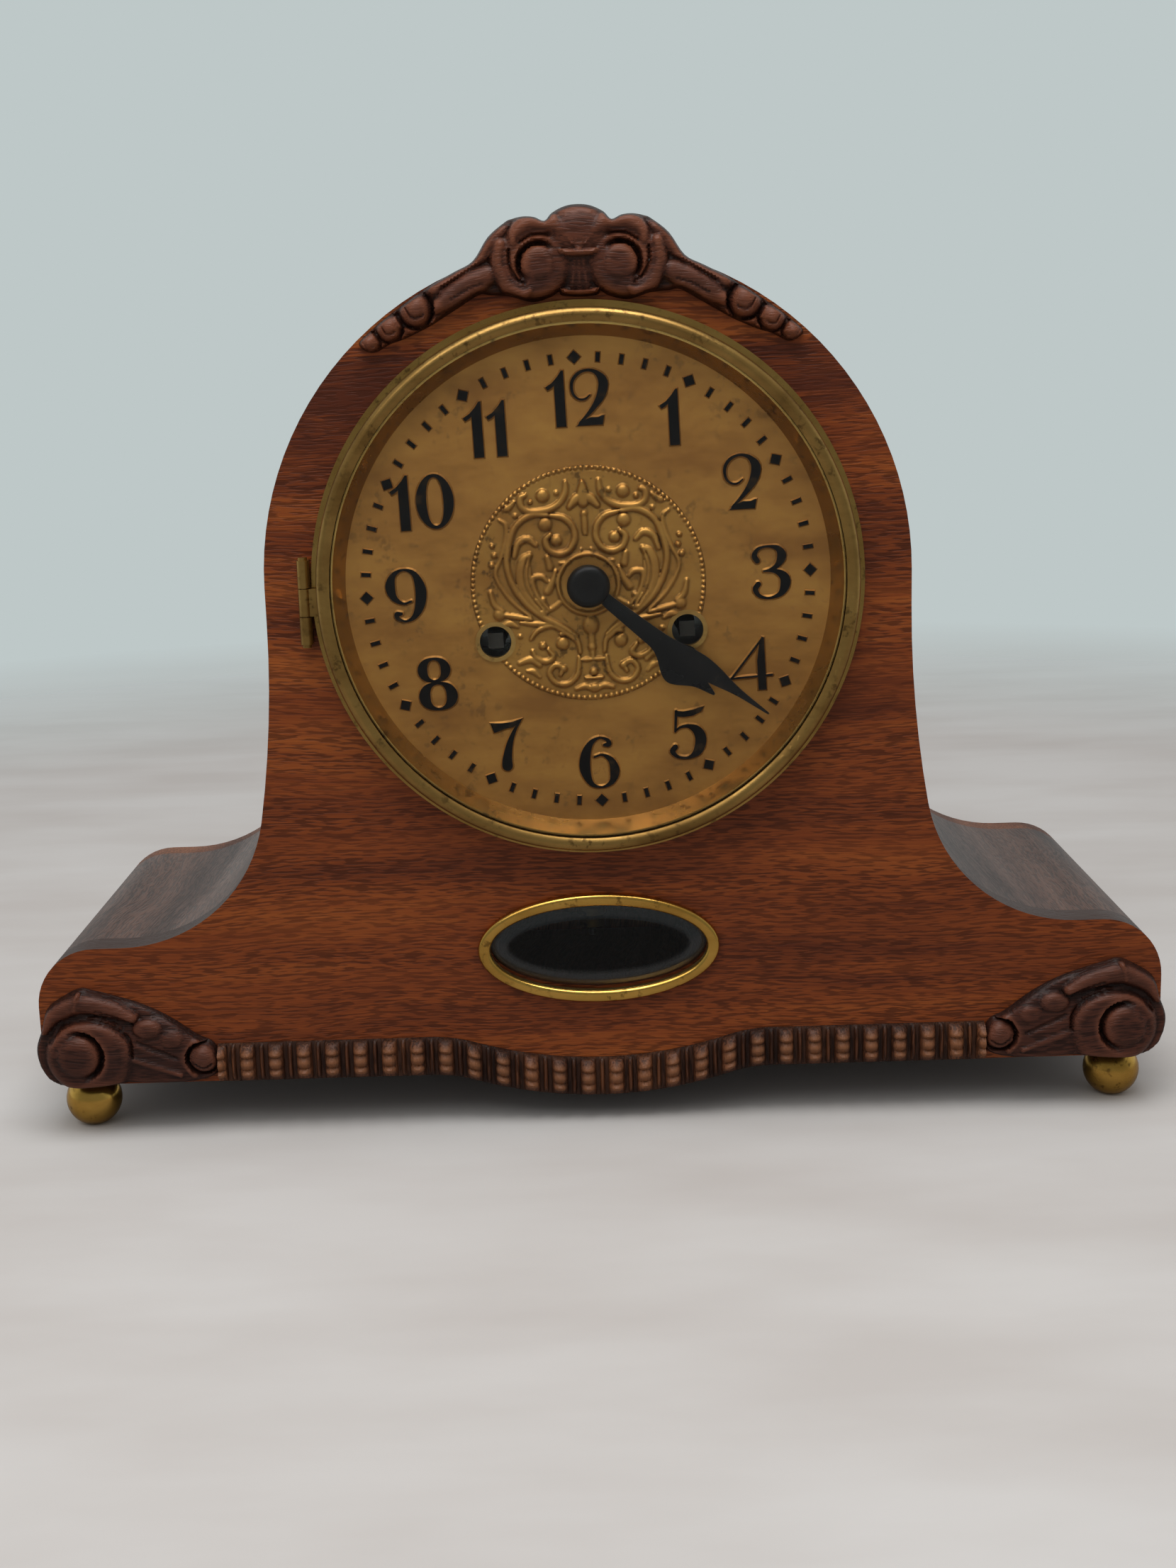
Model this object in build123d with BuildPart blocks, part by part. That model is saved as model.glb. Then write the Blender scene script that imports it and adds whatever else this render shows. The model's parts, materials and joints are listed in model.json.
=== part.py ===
from build123d import *
import math
import os

# Arched oak shelf clock with flared shoulders, a striking movement and a pendulum.
# Millimetres, +Z up. The front faces -Y and +X is on the viewer's right.
# The origin is on the floor, in the middle of the clock's whole box.

# Case of bent and flat boards
case_depth = 138.0
dial_height = 184.0
arch_margin = 17.6
arch_rise = 1.4
side_drop = 11.4
flare_radius = 371.0
shoulder_flat = 9.0
shoulder_height = 66.0
base_width = 379.0
corner_radius = 20.0
base_rounding = 9.0
foot_height = 18.0
board_thickness = 12.0
skin_thickness = 5.0
back_thickness = 10.0
bottom_thickness = 12.0
cut_overrun = 2.0

# Wavy lower edge of the front board
dip_depth = 8.8
dip_radius = 145.0
dip_blend_radius = 50.0

# Ball feet
foot_ball_radius = 9.5
foot_end_inset = 13.0
foot_edge_inset = 12.0

# Fluted band
band_height = 13.5
band_depth = 5.0
band_rounding = 2.6
rib_count = 26
rib_pitch = 9.6
rib_groove_width = 0.9
rib_groove_spacing = 2.0
rib_groove_depth = 2.2

# Carved corners, outlined in shares of their length and height from the outer lower corner
corner_carving_length = 62.5
corner_carving_height = 35.0
corner_carving_overhang = 2.8
corner_carving_depth = 4.5
corner_volute_radius = 9.8
corner_volute_depth = 6.5
corner_eye_radius = 5.6
corner_bead_radius = 4.2
corner_outline_shares = (
    (0.14, 0.02), (0.03, 0.20), (0.02, 0.42), (0.06, 0.62), (0.09, 0.80), (0.27, 0.98), (0.43, 0.92),
    (0.60, 0.81), (0.74, 0.67), (0.88, 0.49), (0.98, 0.34), (0.98, 0.10), (0.88, 0.02), (0.57, 0.03),
)
corner_eye_shares = (0.22, 0.30)
corner_bead_shares = (0.92, 0.22)

# Carved crest, outlined in shares of its half width and its height, from the middle of its lower edge
crest_half_width = 70.0
crest_height = 44.0
crest_stand = 13.6
crest_depth = 4.5
crest_block_half_width = 34.0
crest_volute_radius = 11.0
crest_volute_depth = 7.0
crest_eye_radius = 5.0
crest_fan_radius = 9.0
crest_fan_depth = 6.0
crest_outline_shares = (
    (0.0, 1.0), (0.07, 0.98), (0.14, 0.90), (0.24, 0.92), (0.33, 0.88), (0.40, 0.78), (0.48, 0.63),
    (0.56, 0.545), (0.67, 0.45), (0.77, 0.35), (0.89, 0.20), (0.99, 0.06), (0.94, 0.0), (0.80, 0.10),
    (0.64, 0.22), (0.47, 0.36), (0.31, 0.35), (0.21, 0.33), (0.10, 0.37), (0.0, 0.36),
)
crest_eye_shares = (0.18, 0.61)
crest_fan_shares = (0.0, 0.80)
crest_bead_shares = ((0.74, 0.27, 0.095), (0.86, 0.16, 0.068), (0.95, 0.07, 0.05))

# Oval window
window_rise_share = 0.5675
window_width = 81.0
window_tall = 37.8
window_ring_width = 4.2
window_ring_depth = 3.0
window_ring_rounding = 1.4
window_rebate_depth = 4.0
window_rebate_lap = 2.2
window_glass_thickness = 3.6
window_bevel_width = 7.0
window_bevel_depth = 1.6
window_glass_clearance = 0.2

# Dial, pan and sloped sight ring, measured from the bezel's edge
dial_turn = 2.0
dial_inset = 1.8
dial_thickness = 1.2
dial_opening_radius = 46.0
dial_centre_hole_radius = 4.5
pan_margin = 2.2
pan_height = 2.4
pan_clearance = 0.2
sight_inset = 8.8
sight_top_inset = 5.2
sight_height = 7.2
sight_wall = 0.8

# Winding holes and the rosette
winding_spacing = 62.2
winding_drop = 16.85
winding_hole_radius = 5.1
eyelet_wall = 0.6
eyelet_flange_radius = 6.5
eyelet_flange_height = 0.9
rosette_radius = 37.5
rosette_thickness = 1.0
rosette_rim_width = 1.8
rosette_rim_height = 0.5
rosette_boss_radius = 10.0
rosette_boss_height = 0.9
rosette_eyelet_clearance = 0.2

# Bezel door with its convex glass
bezel_gap = 0.3
bezel_radius = 86.8
bezel_wall = 1.4
bezel_lip_reach = 4.4
bezel_rounding = 2.2
bezel_side_height = 8.4
bezel_crest_height = 11.0
bezel_lip_flat = 0.8
glass_back_height = 7.8
glass_thickness = 1.6
glass_rise = 9.0
glass_rim_width = 3.8
glass_clearance = 0.2
retainer_width = 2.5
retainer_thickness = 1.4

# Bezel hinge on the left, its axis upright
bezel_hinge_stand_off = 4.2
bezel_hinge_height = 4.8
bezel_hinge_drop = 3.0
bezel_hinge_length = 27.0
bezel_leaf_reach = 1.7
bezel_leaf_thickness = 2.4
bezel_strap_thickness = 2.4
bezel_leaf_gap = 0.3

# Hinges
knuckle_radius = 2.0
knuckle_gap = 0.3
hinge_pin_radius = 0.9
hinge_running_clearance = 0.05
pin_head_height = 1.0
pin_head_radius = 1.5

# Back door
door_half_width = 68.0
door_sill_height = 48.0
door_thickness = 6.0
door_lap = 4.0
door_clearance = 0.6
door_hinge_length = 24.0
door_hinge_heights = (78.0, 158.0)
door_hinge_stand_off = 2.2
door_leaf_width = 10.0
door_leaf_thickness = 1.0
door_leaf_gap = 2.5
knob_length = 14.0
knob_radius = 7.0
knob_neck_radius = 3.5
knob_neck_length = 5.0
knob_rounding = 2.5
knob_inset = 10.0
knob_height = 140.0

# Screws of the back frame
frame_screw_radius = 1.8
frame_screw_head_radius = 3.6
frame_screw_head_height = 1.8
frame_screw_length = 22.0
frame_screw_spacing = 100.0
frame_screw_count = 4

# Hands, outlined in shares of their length and their widest half width
minute_hand_gap = 6.6
minute_hand_half_width = 3.5
minute_hand_angle = 129.0
minute_hand_height = 7.8
minute_outline_shares = ((0.30, 0.48), (0.46, 0.58), (0.62, 1.0), (0.80, 0.45), (1.0, 0.08))
hour_hand_shortfall = 17.4
hour_hand_half_width = 7.0
hour_hand_angle = 134.6
hour_hand_height = 5.2
hour_outline_shares = ((0.50, 0.27), (0.60, 0.50), (0.73, 1.0), (0.86, 0.42), (1.0, 0.05))
hand_thickness = 0.8
hand_bar_start_share = 0.05
minute_hub_radius = 5.2
hour_hub_radius = 6.2
hand_nut_radius = 6.9
hand_nut_height = 3.6
hand_nut_rounding = 2.4

# Movement plates
plate_front = -28.0
plate_thickness = 2.0
plate_spacing = 42.0
plate_width = 100.0
plate_top = 64.0
plate_bottom = -60.0
plate_corner_radius = 4.0
pillar_radius = 3.5
pillar_stub_radius = 2.0
pillar_inset = 6.0
nut_height = 2.4
nut_radius = 4.2
post_radius = 4.0
post_half_spacing = 26.0
post_rise = 46.0
running_clearance = 0.05

# Toothed wheels, in shares of the module and of the tooth pitch
tooth_tip_share = 0.70
tooth_root_share = 1.00
tooth_tip_width_share = 0.20
tooth_root_width_share = 0.50
wheel_hole_count = 5
wheel_hole_place_share = 0.60
wheel_hole_radius_share = 0.22

# Spring barrels
great_teeth = 72
great_thickness = 2.4
drive_pinion_teeth = 8
barrel_radius = 24.0
barrel_wall = 1.6
barrel_front = -34.0
barrel_back = -62.0
mainspring_clearance = 0.3
arbor_core_radius = 5.5
winding_arbor_radius = 3.5
winding_pivot_radius = 2.0
winding_square = 5.0
winding_square_start = -20.0
winding_square_end = -1.0
ratchet_teeth = 24
ratchet_radius = 11.0
ratchet_root_radius = 9.6
ratchet_front = -24.0
ratchet_thickness = 2.0
click_clearance = 0.5
click_length = 13.0
click_width = 4.0

# Going train and motion work
train_module = 0.8
train_teeth = 48
train_pinion_teeth = 8
third_bearing = 60.0
escape_bearing = 120.0
arbor_radius = 1.5
pivot_radius = 1.0
wheel_thickness = 1.5
centre_wheel_front = -66.5
centre_hub_radius = 3.0
third_wheel_front = -63.2
pinion_overlap = 1.4
escape_teeth = 30
escape_radius = 11.0
escape_root_radius = 9.0
escape_front = -51.0
escape_thickness = 1.2
saw_lean_share = 0.22
cannon_teeth = 12
minute_wheel_teeth = 36
minute_pinion_teeth = 10
hour_wheel_teeth = 40
motion_module = 0.7
motion_bearing = 90.0
cannon_front = -24.0
hour_wheel_front = -21.0
cannon_pipe_radius = 2.6
hour_pipe_radius = 3.4
hour_pipe_clearance = 0.08
minute_stud_radius = 1.2

# Strike train
strike_bearing = 100.0
strike_module = 0.6
strike_teeth = 48
strike_pinion_teeth = 8
strike_wheel_front = -32.4
fly_bearing = 60.0
fly_radius = 11.0
fly_thickness = 1.2
fly_front = -40.0
fly_length = 14.0

# Anchor, crutch and pendulum
anchor_rise = 14.2
anchor_clearance = 0.9
anchor_width = 3.0
anchor_half_angle = 42.0
anchor_thickness = 1.6
anchor_hub_radius = 3.2
pendulum_depth = -84.0
crutch_front = -78.0
crutch_thickness = 1.4
crutch_width = 2.2
crutch_length = 38.0
crutch_prong_width = 1.1
crutch_prong_clearance = 0.25
cock_drop = 3.0
cock_height = 5.0
cock_width = 12.0
cock_gap = 0.3
suspension_width = 6.0
suspension_thickness = 0.5
suspension_length = 12.0
pendulum_rod_radius = 1.3
pendulum_floor_gap = 11.0
bob_radius = 18.0
bob_thickness = 8.0
bob_rounding = 3.0
rating_nut_radius = 5.0
rating_nut_height = 3.0
rating_thread_length = 7.0

# Gong and hammer
gong_block_width = 16.0
gong_block_depth = 26.0
gong_block_height = 34.0
gong_block_inset = 71.5
gong_rod_radius = 1.4
gong_rod_length = 185.0
gong_rod_count = 3
gong_rod_pitch = 6.0
gong_rod_height = 56.0
gong_rod_depth = -106.0
hammer_arbor_place = -20.0
hammer_arbor_drop = 52.0
hammer_arbor_radius = 1.2
hammer_reach = 62.0
hammer_head_radius = 4.0
hammer_head_length = 14.0
hammer_gap = 1.0
hammer_arm_width = 2.6
hammer_arm_thickness = 2.0

# Places that follow from the sizes
front_proud = glass_back_height + glass_thickness + glass_rise
total_depth = front_proud + case_depth + knob_length
front_y = front_proud - total_depth / 2
back_y = front_y + case_depth
base_half = base_width / 2
gong_block_place = base_half - gong_block_inset
arch_height = dial_height + arch_rise
arch_radius = bezel_radius + arch_margin
crest_top = arch_radius + crest_stand
dial_radius = bezel_radius - dial_inset
pan_radius = bezel_radius + pan_margin
sight_radius = bezel_radius - sight_inset
sight_top_radius = bezel_radius - sight_top_inset
bezel_bore_radius = bezel_radius - bezel_wall
bezel_lip_radius = bezel_radius - bezel_lip_reach
bezel_crest_radius = bezel_radius - bezel_rounding
glass_rim_radius = bezel_bore_radius - glass_rim_width
retainer_radius = bezel_bore_radius - retainer_width
bezel_hinge_offset = bezel_radius + bezel_hinge_stand_off
minute_hand_length = sight_radius - minute_hand_gap
hour_hand_length = minute_hand_length - hour_hand_shortfall
flare_top = arch_height - side_drop
shoulder_run = base_half - corner_radius - shoulder_flat - arch_radius
shoulder_drop = flare_top - shoulder_height
shoulder_radius = (2 * flare_radius * shoulder_run - shoulder_run ** 2 - shoulder_drop ** 2) / (
    2 * (flare_radius - shoulder_drop)
)
flare_angle = math.degrees(
    math.asin((shoulder_drop - shoulder_radius) / (flare_radius - shoulder_radius))
)
dip_angle = math.degrees(math.acos(1 - dip_depth / (dip_radius + dip_blend_radius)))
dip_run = (dip_radius + dip_blend_radius) * math.sin(math.radians(dip_angle))
quarter_turn = 90
inner_depth = case_depth - board_thickness - back_thickness

turn = math.radians(dial_turn)
front = Plane(origin=(0, front_y, 0), x_dir=(1, 0, 0), z_dir=(0, -1, 0))
back = Plane(origin=(0, back_y, 0), x_dir=(-1, 0, 0), z_dir=(0, 1, 0))
dial = Plane(
    origin=(0, front_y, dial_height),
    x_dir=(math.cos(turn), 0, math.sin(turn)),
    z_dir=(0, -1, 0),
)
dial_axis = Axis(dial.origin, dial.z_dir)
dial_section = Plane(origin=dial.origin, x_dir=dial.x_dir, z_dir=-dial.y_dir)

os.makedirs("parts", exist_ok=True)


# Helpers that add to the piece being made

def disc(plane, radius, height, at=(0, 0), mode=Mode.ADD):
    """Round plate on a plane."""
    with BuildSketch(plane) as outline:
        with Locations(at):
            Circle(radius)
    extrude(outline.sketch, amount=height, mode=mode)


def plate(plane, width, tall, height, at=(0, 0), mode=Mode.ADD):
    """Rectangular plate on a plane."""
    with BuildSketch(plane) as outline:
        with Locations(at):
            Rectangle(width, tall)
    extrude(outline.sketch, amount=height, mode=mode)


def turned(points):
    """Ring turned around the dial axis from its section, given as radius and height."""
    with BuildSketch(dial_section) as outline:
        with BuildLine():
            Polyline(*points, close=True)
        make_face()
    revolve(outline.sketch, axis=dial_axis)


def outlined(plane, points, height):
    """Flat plate with a straight-sided outline."""
    with BuildSketch(plane) as outline:
        with BuildLine():
            Polyline(*points, close=True)
        make_face()
    extrude(outline.sketch, amount=height)


def polar(at, reach, angle):
    """Point at a distance and a heading in degrees from another."""
    heading = math.radians(angle)
    return (at[0] + reach * math.cos(heading), at[1] + reach * math.sin(heading))


def gear_points(teeth, module, at, heading, gap=False):
    """Outline of a toothed wheel with a tooth, or a gap, on its heading."""
    pitch = 360 / teeth
    radius = teeth * module / 2
    tip = radius + tooth_tip_share * module
    root = radius - tooth_root_share * module
    first = heading + (pitch / 2 if gap else 0)
    corners = (
        (root, -tooth_root_width_share / 2),
        (tip, -tooth_tip_width_share / 2),
        (tip, tooth_tip_width_share / 2),
        (root, tooth_root_width_share / 2),
    )
    return [
        polar(at, reach, first + (number + share) * pitch)
        for number in range(teeth)
        for reach, share in corners
    ]


def saw_points(teeth, tip, root, at):
    """Outline of a wheel with leaning saw teeth."""
    pitch = 360 / teeth
    points = []
    for number in range(teeth):
        points.append(polar(at, root, number * pitch))
        points.append(polar(at, tip, (number + saw_lean_share) * pitch))
    return points


def wheel(teeth, module, at, top, thickness, heading, gap=False):
    """Toothed brass wheel with round holes through its web, its front face at a depth."""
    radius = teeth * module / 2
    outlined(dial.offset(top - thickness), gear_points(teeth, module, at, heading, gap), thickness)
    with BuildSketch(dial.offset(top)) as holes:
        with Locations(at):
            with PolarLocations(radius * wheel_hole_place_share, wheel_hole_count):
                Circle(radius * wheel_hole_radius_share)
    extrude(holes.sketch, amount=-thickness, mode=Mode.SUBTRACT)


def pinion(teeth, module, at, top, length, heading, gap=True):
    """Small toothed wheel cut in the arbor."""
    outlined(dial.offset(top - length), gear_points(teeth, module, at, heading, gap), length)


def arbor(at, start, end, radius):
    """Round bar along the depth of the movement, from the back to the front."""
    disc(dial.offset(start), radius, end - start, at)


def pivoted_arbor(at):
    """Arbor between the plates, with a thin pivot in each plate."""
    arbor(at, plate_rear_face, plate_front_inner, arbor_radius)
    arbor(at, plate_rear, plate_front, pivot_radius)


def knuckle(centre, low, high, bore):
    """Upright hinge knuckle with its bore."""
    disc(Plane.XY.offset(low), knuckle_radius, high - low, centre)
    disc(Plane.XY.offset(low), bore, high - low, centre, Mode.SUBTRACT)


def hinge_pin(centre, low, high):
    """Upright hinge pin with a round head on each end."""
    disc(Plane.XY.offset(low), hinge_pin_radius, high - low, centre)
    disc(Plane.XY.offset(high), pin_head_radius, pin_head_height, centre)
    disc(Plane.XY.offset(low - pin_head_height), pin_head_radius, pin_head_height, centre)


def hinge_levels(middle, length):
    """Heights of the two end knuckles and of the middle one."""
    share = (length - 2 * knuckle_gap) / 3
    low = middle - length / 2
    ends = ((low, low + share), (low + length - share, low + length))
    inner = (low + share + knuckle_gap, low + 2 * share + knuckle_gap)
    return ends, inner


def wave(level, end):
    """Right half of the wavy lower edge, from its end to the middle."""
    run = Line((end, level), (dip_run, level))
    blend = JernArc(run @ 1, (-1, 0), dip_blend_radius, dip_angle)
    JernArc(blend @ 1, blend % 1, dip_radius, -dip_angle)


def case_face(plane, inset=0, base=foot_height, dip=False, rounding=base_rounding):
    """Front view of the case: arch, flared sides, shoulders, rounded ends and base."""
    with BuildSketch(plane) as outline:
        with BuildLine():
            arch = JernArc(
                (0, arch_height + arch_radius - inset), (1, 0), arch_radius - inset, -quarter_turn
            )
            side = Line(arch @ 1, (arch_radius - inset, flare_top))
            flare = JernArc(side @ 1, (0, -1), flare_radius + inset, flare_angle)
            shoulder = JernArc(
                flare @ 1, flare % 1, shoulder_radius + inset, quarter_turn - flare_angle
            )
            flat = Line(shoulder @ 1, (base_half - corner_radius, shoulder_height - inset))
            corner = JernArc(flat @ 1, (1, 0), corner_radius - inset, -quarter_turn)
            end = Line(corner @ 1, (base_half - inset, base + rounding))
            if rounding:
                JernArc(end @ 1, (0, -1), rounding, -quarter_turn)
            base_end = base_half - inset - rounding
            if dip:
                wave(base, base_end)
            else:
                Line((base_end, base), (0, base))
            mirror(about=Plane.YZ)
        make_face()
    return outline.sketch


def door_face(plane, inset):
    """Arched back opening, or the door in it, made smaller by an inset."""
    half = door_half_width - inset
    with BuildSketch(plane) as outline:
        with BuildLine():
            arch = JernArc((0, dial_height + half), (1, 0), half, -quarter_turn)
            side = Line(arch @ 1, (half, door_sill_height + inset))
            Line(side @ 1, (0, door_sill_height + inset))
            mirror(about=Plane.YZ)
        make_face()
    return outline.sketch


def finish(piece, name):
    """Label a piece and write it."""
    piece.part.label = name
    export_step(piece.part, f"parts/{name}.step")


# Depths of the movement plates
plate_front_inner = plate_front - plate_thickness
plate_rear_face = plate_front_inner - plate_spacing
plate_rear = plate_rear_face - plate_thickness

# Places of the arbors, in the dial's own turned plane
centre_place = (0, 0)
time_place = (winding_spacing / 2, -winding_drop)
strike_place = (-winding_spacing / 2, -winding_drop)
winder_reach = math.hypot(winding_spacing / 2, winding_drop)
great_module = 2 * winder_reach / (great_teeth + drive_pinion_teeth)
time_bearing = math.degrees(math.atan2(winding_drop, -winding_spacing / 2))
train_reach = train_module * (train_teeth + train_pinion_teeth) / 2
third_place = polar(centre_place, train_reach, third_bearing)
escape_place = polar(third_place, train_reach, escape_bearing)
anchor_place = (escape_place[0], escape_place[1] + anchor_rise)
strike_wheel_place = polar(strike_place, winder_reach, strike_bearing)
strike_reach = strike_module * (strike_teeth + strike_pinion_teeth) / 2
fly_place = polar(strike_wheel_place, strike_reach, fly_bearing)
motion_reach = motion_module * (cannon_teeth + minute_wheel_teeth) / 2
hour_module = 2 * motion_reach / (minute_pinion_teeth + hour_wheel_teeth)
minute_wheel_place = polar(centre_place, motion_reach, motion_bearing)
hammer_place = (hammer_arbor_place, -hammer_arbor_drop)
pillar_places = [
    (side * (plate_width / 2 - pillar_inset), level)
    for side in (-1, 1)
    for level in (plate_bottom + pillar_inset, plate_top - pillar_inset)
]
post_places = [
    (side * post_half_spacing, level * post_rise) for side in (-1, 1) for level in (-1, 1)
]
anchor_point = dial.from_local_coords((anchor_place[0], anchor_place[1], 0))
hang = Plane(origin=anchor_point, x_dir=(1, 0, 0), z_dir=(0, -1, 0))


# Front board with its dial and window openings
window_outer = (window_width / 2, window_tall / 2)
window_inner = (window_outer[0] - window_ring_width, window_outer[1] - window_ring_width)
window_rebate = (window_inner[0] + window_rebate_lap, window_inner[1] + window_rebate_lap)
window_height = foot_height + window_rise_share * (dial_height - pan_radius - foot_height)
window_place = (0, window_height)

with BuildPart() as front_board:
    extrude(case_face(front.offset(-board_thickness), dip=True), amount=board_thickness)
    disc(front, dial_opening_radius, -board_thickness, (0, dial_height), Mode.SUBTRACT)
    with BuildSketch(front) as opening:
        with Locations(window_place):
            Ellipse(*window_inner)
    extrude(opening.sketch, amount=-board_thickness, mode=Mode.SUBTRACT)
    with BuildSketch(front) as rebate:
        with Locations(window_place):
            Ellipse(*window_rebate)
    extrude(rebate.sketch, amount=-window_rebate_depth, mode=Mode.SUBTRACT)
finish(front_board, "front_board")

# Bent skin over the arch, the shoulders and the ends
with BuildPart() as case_skin:
    skin_plane = back.offset(-back_thickness - inner_depth)
    extrude(case_face(skin_plane), amount=inner_depth)
    extrude(
        case_face(
            skin_plane, inset=skin_thickness, base=foot_height - cut_overrun, rounding=0
        ),
        amount=inner_depth,
        mode=Mode.SUBTRACT,
    )
finish(case_skin, "case_skin")

# Bottom board between the skin's ends, with holes for the frame screws
screw_places = [
    ((number - (frame_screw_count - 1) / 2) * frame_screw_spacing, foot_height + bottom_thickness / 2)
    for number in range(frame_screw_count)
]
with BuildPart() as bottom_board:
    middle_y = (front_y + board_thickness + back_y - back_thickness) / 2
    plate(
        Plane.XY.offset(foot_height),
        base_width - 2 * skin_thickness,
        inner_depth,
        bottom_thickness,
        (0, middle_y),
    )
    extrude(case_face(skin_plane), amount=inner_depth, mode=Mode.INTERSECT)
    for place in screw_places:
        disc(back, frame_screw_radius, -frame_screw_length, place, Mode.SUBTRACT)
finish(bottom_board, "bottom_board")

# Back frame with a rebated opening for the door
with BuildPart() as back_frame:
    extrude(case_face(back.offset(-back_thickness)), amount=back_thickness)
    extrude(door_face(back, 0), amount=-door_thickness, mode=Mode.SUBTRACT)
    extrude(door_face(back, door_lap), amount=-back_thickness, mode=Mode.SUBTRACT)
    for place in screw_places:
        disc(back, frame_screw_radius, -back_thickness, place, Mode.SUBTRACT)
finish(back_frame, "back_frame")

with BuildPart() as frame_screws:
    for place in screw_places:
        disc(back, frame_screw_radius, -frame_screw_length, place)
        disc(back, frame_screw_head_radius, frame_screw_head_height, place)
finish(frame_screws, "frame_screws")

# Ball feet, flat where they meet the case and the floor
foot_places = [
    (side * (base_half - foot_end_inset), y, foot_height / 2)
    for side in (-1, 1)
    for y in (front_y + foot_edge_inset, back_y - foot_edge_inset)
]
with BuildPart() as ball_feet:
    with Locations(*foot_places):
        Sphere(foot_ball_radius)
    with Locations((0, 0, foot_height / 2)):
        Box(base_width + foot_ball_radius, total_depth, foot_height, mode=Mode.INTERSECT)
finish(ball_feet, "ball_feet")

# Fluted band that follows the wavy lower edge
band_end = base_half + corner_carving_overhang - corner_carving_length
with BuildPart() as fluted_band:
    with BuildSketch(front) as band:
        with BuildLine():
            wave(foot_height, band_end)
            wave(foot_height + band_height, band_end)
            Line((band_end, foot_height), (band_end, foot_height + band_height))
            mirror(about=Plane.YZ)
        make_face()
    extrude(amount=band_depth)
    long_edges = (
        fluted_band.faces().sort_by(Axis.Y)[0].edges().filter_by(Axis.Z, reverse=True)
    )
    fillet(long_edges, band_rounding)
    groove_places = [
        ((number - rib_count / 2) * rib_pitch + side * rib_groove_spacing / 2, foot_height)
        for number in range(rib_count + 1)
        for side in (-1, 1)
    ]
    with BuildSketch(front.offset(band_depth - rib_groove_depth)) as grooves:
        with Locations(*groove_places):
            Rectangle(rib_groove_width, 2 * (band_height + dip_depth) + cut_overrun)
    extrude(grooves.sketch, amount=rib_groove_depth, mode=Mode.SUBTRACT)
finish(fluted_band, "fluted_band")


# Carved corner pieces, one for each end of the base
def corner_point(side, shares):
    """Place on a corner carving from its shares."""
    outer = base_half + corner_carving_overhang
    return (
        side * (outer - shares[0] * corner_carving_length),
        foot_height + shares[1] * corner_carving_height,
    )


for side, name in ((-1, "left_corner_carving"), (1, "right_corner_carving")):
    eye = corner_point(side, corner_eye_shares)
    bead = corner_point(side, corner_bead_shares)
    with BuildPart() as corner_carving:
        with BuildSketch(front) as outline:
            with BuildLine():
                Spline(*[corner_point(side, shares) for shares in corner_outline_shares], periodic=True)
            make_face()
        extrude(amount=corner_carving_depth)
        disc(front, corner_volute_radius, corner_volute_depth, eye)
        with Locations(front.offset(corner_volute_depth).location * Pos(*eye)):
            Sphere(corner_eye_radius)
        with Locations(front.offset(corner_carving_depth).location * Pos(*bead)):
            Sphere(corner_bead_radius)
        with BuildSketch(front) as behind:
            Rectangle(2 * base_width, 2 * arch_height)
        extrude(behind.sketch, amount=-board_thickness, mode=Mode.SUBTRACT)
    finish(corner_carving, name)

# Carved crest: relief on the board and a block that stands on the arch
crest_base = dial_height + crest_top - crest_height


def crest_point(shares, side=1):
    """Place on the crest from its shares."""
    return (side * shares[0] * crest_half_width, crest_base + shares[1] * crest_height)


def crest_face(plane):
    """Outline of the crest."""
    with BuildSketch(plane) as outline:
        with BuildLine():
            Spline(*[crest_point(shares) for shares in crest_outline_shares])
            Line(crest_point(crest_outline_shares[-1]), crest_point(crest_outline_shares[0]))
        make_face()
        mirror(about=Plane.YZ)
    return outline.sketch


with BuildPart() as crest_carving:
    extrude(crest_face(front), amount=crest_depth)
    for side in (-1, 1):
        volute = crest_point(crest_eye_shares, side)
        disc(front, crest_volute_radius, crest_volute_depth, volute)
        with Locations(front.offset(crest_volute_depth).location * Pos(*volute)):
            Sphere(crest_eye_radius)
        for bead_shares in crest_bead_shares:
            with Locations(front.offset(crest_depth).location * Pos(*crest_point(bead_shares, side))):
                Sphere(bead_shares[2] * crest_half_width)
    disc(front, crest_fan_radius, crest_fan_depth, crest_point(crest_fan_shares))
    with BuildSketch(front) as behind:
        Rectangle(2 * base_width, 2 * (dial_height + crest_top))
    extrude(behind.sketch, amount=-board_thickness, mode=Mode.SUBTRACT)
    block_plane = front.offset(-board_thickness)
    with BuildSketch(block_plane) as block:
        add(crest_face(Plane.XY))
        with Locations((0, dial_height)):
            Rectangle(2 * crest_block_half_width, 2 * crest_top + cut_overrun, mode=Mode.INTERSECT)
        with Locations((0, arch_height)):
            Circle(arch_radius, mode=Mode.SUBTRACT)
    extrude(block.sketch, amount=board_thickness)
finish(crest_carving, "crest_carving")

# Oval window: brass ring and bevelled glass
with BuildPart() as window_ring:
    with BuildSketch(front) as ring:
        with Locations(window_place):
            Ellipse(*window_outer)
            Ellipse(*window_inner, mode=Mode.SUBTRACT)
    extrude(amount=window_ring_depth)
    fillet(window_ring.faces().sort_by(Axis.Y)[0].edges(), window_ring_rounding)
finish(window_ring, "window_ring")

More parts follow.
